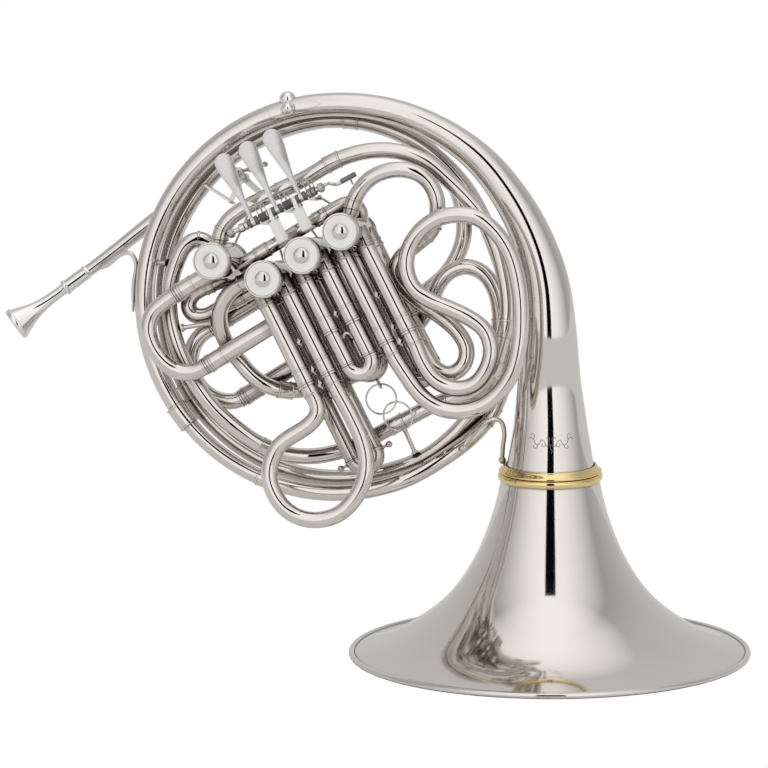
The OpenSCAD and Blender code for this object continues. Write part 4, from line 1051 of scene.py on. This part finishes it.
CAMERA_AZIMUTH = (math.cos(math.radians(-80)), math.sin(math.radians(-80)))


def angle_nodes(tree, vector):
    """A maker of Math nodes, how far round a direction is from the camera's side (1 at it, -1 behind), and the
    direction's height."""
    split = tree.nodes.new("ShaderNodeSeparateXYZ")
    tree.links.new(vector, split.inputs[0])

    def calc(kind, a, b=None):
        node = tree.nodes.new("ShaderNodeMath")
        node.operation = kind
        for i, value in enumerate((a, b)):
            if value is None:
                continue
            if isinstance(value, (int, float)):
                node.inputs[i].default_value = value
            else:
                tree.links.new(value, node.inputs[i])
        return node.outputs[0]

    x, y, z = split.outputs
    ahead = calc("ADD", calc("MULTIPLY", x, CAMERA_AZIMUTH[0]), calc("MULTIPLY", y, CAMERA_AZIMUTH[1]))
    flat = calc("SQRT", calc("ADD", calc("MULTIPLY", x, x), calc("MULTIPLY", y, y)))
    return calc, calc("DIVIDE", ahead, calc("MAXIMUM", flat, 1e-5)), z


def blend(tree, fac, a, b):
    node = tree.nodes.new("ShaderNodeMix")
    node.data_type = "RGBA"
    tree.links.new(fac, node.inputs["Factor"])
    for socket, value in ((node.inputs[6], a), (node.inputs[7], b)):
        if isinstance(value, tuple):
            socket.default_value = (*value, 1)
        else:
            tree.links.new(value, socket)
    return node.outputs[2]


FRONT_LIGHT, SIDE_LIGHT, BACK_LIGHT, TOP_LIGHT = 1.1, 0.4, 0.6, 1.1
CAMERA_GAP = math.cos(math.radians(9))
OVERHEAD = 0.8
FLOOR_HALF, FLOOR_DROP = 14, -0.0006


def build_room():
    """A plain tent of soft light: bright in front, falling off evenly to the sides, a little paler behind.
    It has a soft light overhead and a gap in front for the camera, which itself sees plain white."""
    world = bpy.data.worlds.new("studio")
    bpy.context.scene.world = world
    world.use_nodes = True
    tree = world.node_tree
    place = tree.nodes.new("ShaderNodeTexCoord")
    calc, ahead, z = angle_nodes(tree, place.outputs["Generated"])
    front = calc("MULTIPLY", calc("MAXIMUM", ahead, 0.0), FRONT_LIGHT - SIDE_LIGHT)
    behind = calc("MULTIPLY", calc("MAXIMUM", calc("MULTIPLY", ahead, -1.0), 0.0), BACK_LIGHT - SIDE_LIGHT)
    walls = calc("ADD", calc("ADD", front, behind), SIDE_LIGHT)
    gap = calc("MULTIPLY", calc("GREATER_THAN", ahead, CAMERA_GAP), calc("LESS_THAN", z, OVERHEAD))
    walls = calc("MULTIPLY", walls, calc("SUBTRACT", 1.0, gap))
    over = tree.nodes.new("ShaderNodeMapRange")
    over.inputs["From Min"].default_value, over.inputs["From Max"].default_value = OVERHEAD, 1.0
    tree.links.new(z, over.inputs["Value"])
    sky = blend(tree, over.outputs["Result"], walls, (TOP_LIGHT,) * 3)
    light = tree.nodes.new("ShaderNodeLightPath")
    seen = blend(tree, light.outputs["Is Camera Ray"], sky, (1.0, 1.0, 1.0))
    tree.links.new(seen, tree.nodes["Background"].inputs["Color"])


def build_floor():
    """A plain pale floor, which the camera itself sees as plain white."""
    mesh = bpy.data.meshes.new("studio_floor")
    corners = [(x * FLOOR_HALF, y * FLOOR_HALF, FLOOR_DROP) for x, y in ((-1, -1), (1, -1), (1, 1), (-1, 1))]
    mesh.from_pydata(corners, [], [(0, 1, 2, 3)])
    floor = bpy.data.objects.new("studio_floor", mesh)
    bpy.context.scene.collection.objects.link(floor)
    mat = bpy.data.materials.new("pale_floor")
    mat.use_nodes = True
    tree = mat.node_tree
    tree.nodes.remove(tree.nodes["Principled BSDF"])
    pale = tree.nodes.new("ShaderNodeBsdfDiffuse")
    pale.inputs["Color"].default_value = (0.9, 0.9, 0.89, 1)
    glow = tree.nodes.new("ShaderNodeEmission")
    light = tree.nodes.new("ShaderNodeLightPath")
    mix = tree.nodes.new("ShaderNodeMixShader")
    tree.links.new(light.outputs["Is Camera Ray"], mix.inputs[0])
    tree.links.new(pale.outputs[0], mix.inputs[1])
    tree.links.new(glow.outputs[0], mix.inputs[2])
    tree.links.new(mix.outputs[0], tree.nodes["Material Output"].inputs["Surface"])
    mesh.materials.append(mat)


def build_camera():
    cam = bpy.data.cameras.new("main_camera")
    cam.lens, cam.sensor_width = 608, 36
    cam.clip_start, cam.clip_end = 0.1, 60
    obj = bpy.data.objects.new("main_camera", cam)
    bpy.context.scene.collection.objects.link(obj)
    back = Vector((0.1702, -0.9650, 0.1993)).normalized()
    right = Vector((math.cos(math.radians(10)), math.sin(math.radians(10)), 0))
    up = back.cross(right)
    place = right * -0.1280 + up * 0.2089 + back * 10
    obj.matrix_world = Matrix.Translation(place) @ Matrix((right, up, back)).transposed().to_4x4()
    bpy.context.scene.camera = obj


build_room()
build_floor()
build_camera()
scene = bpy.context.scene
scene.view_settings.view_transform = "Standard"
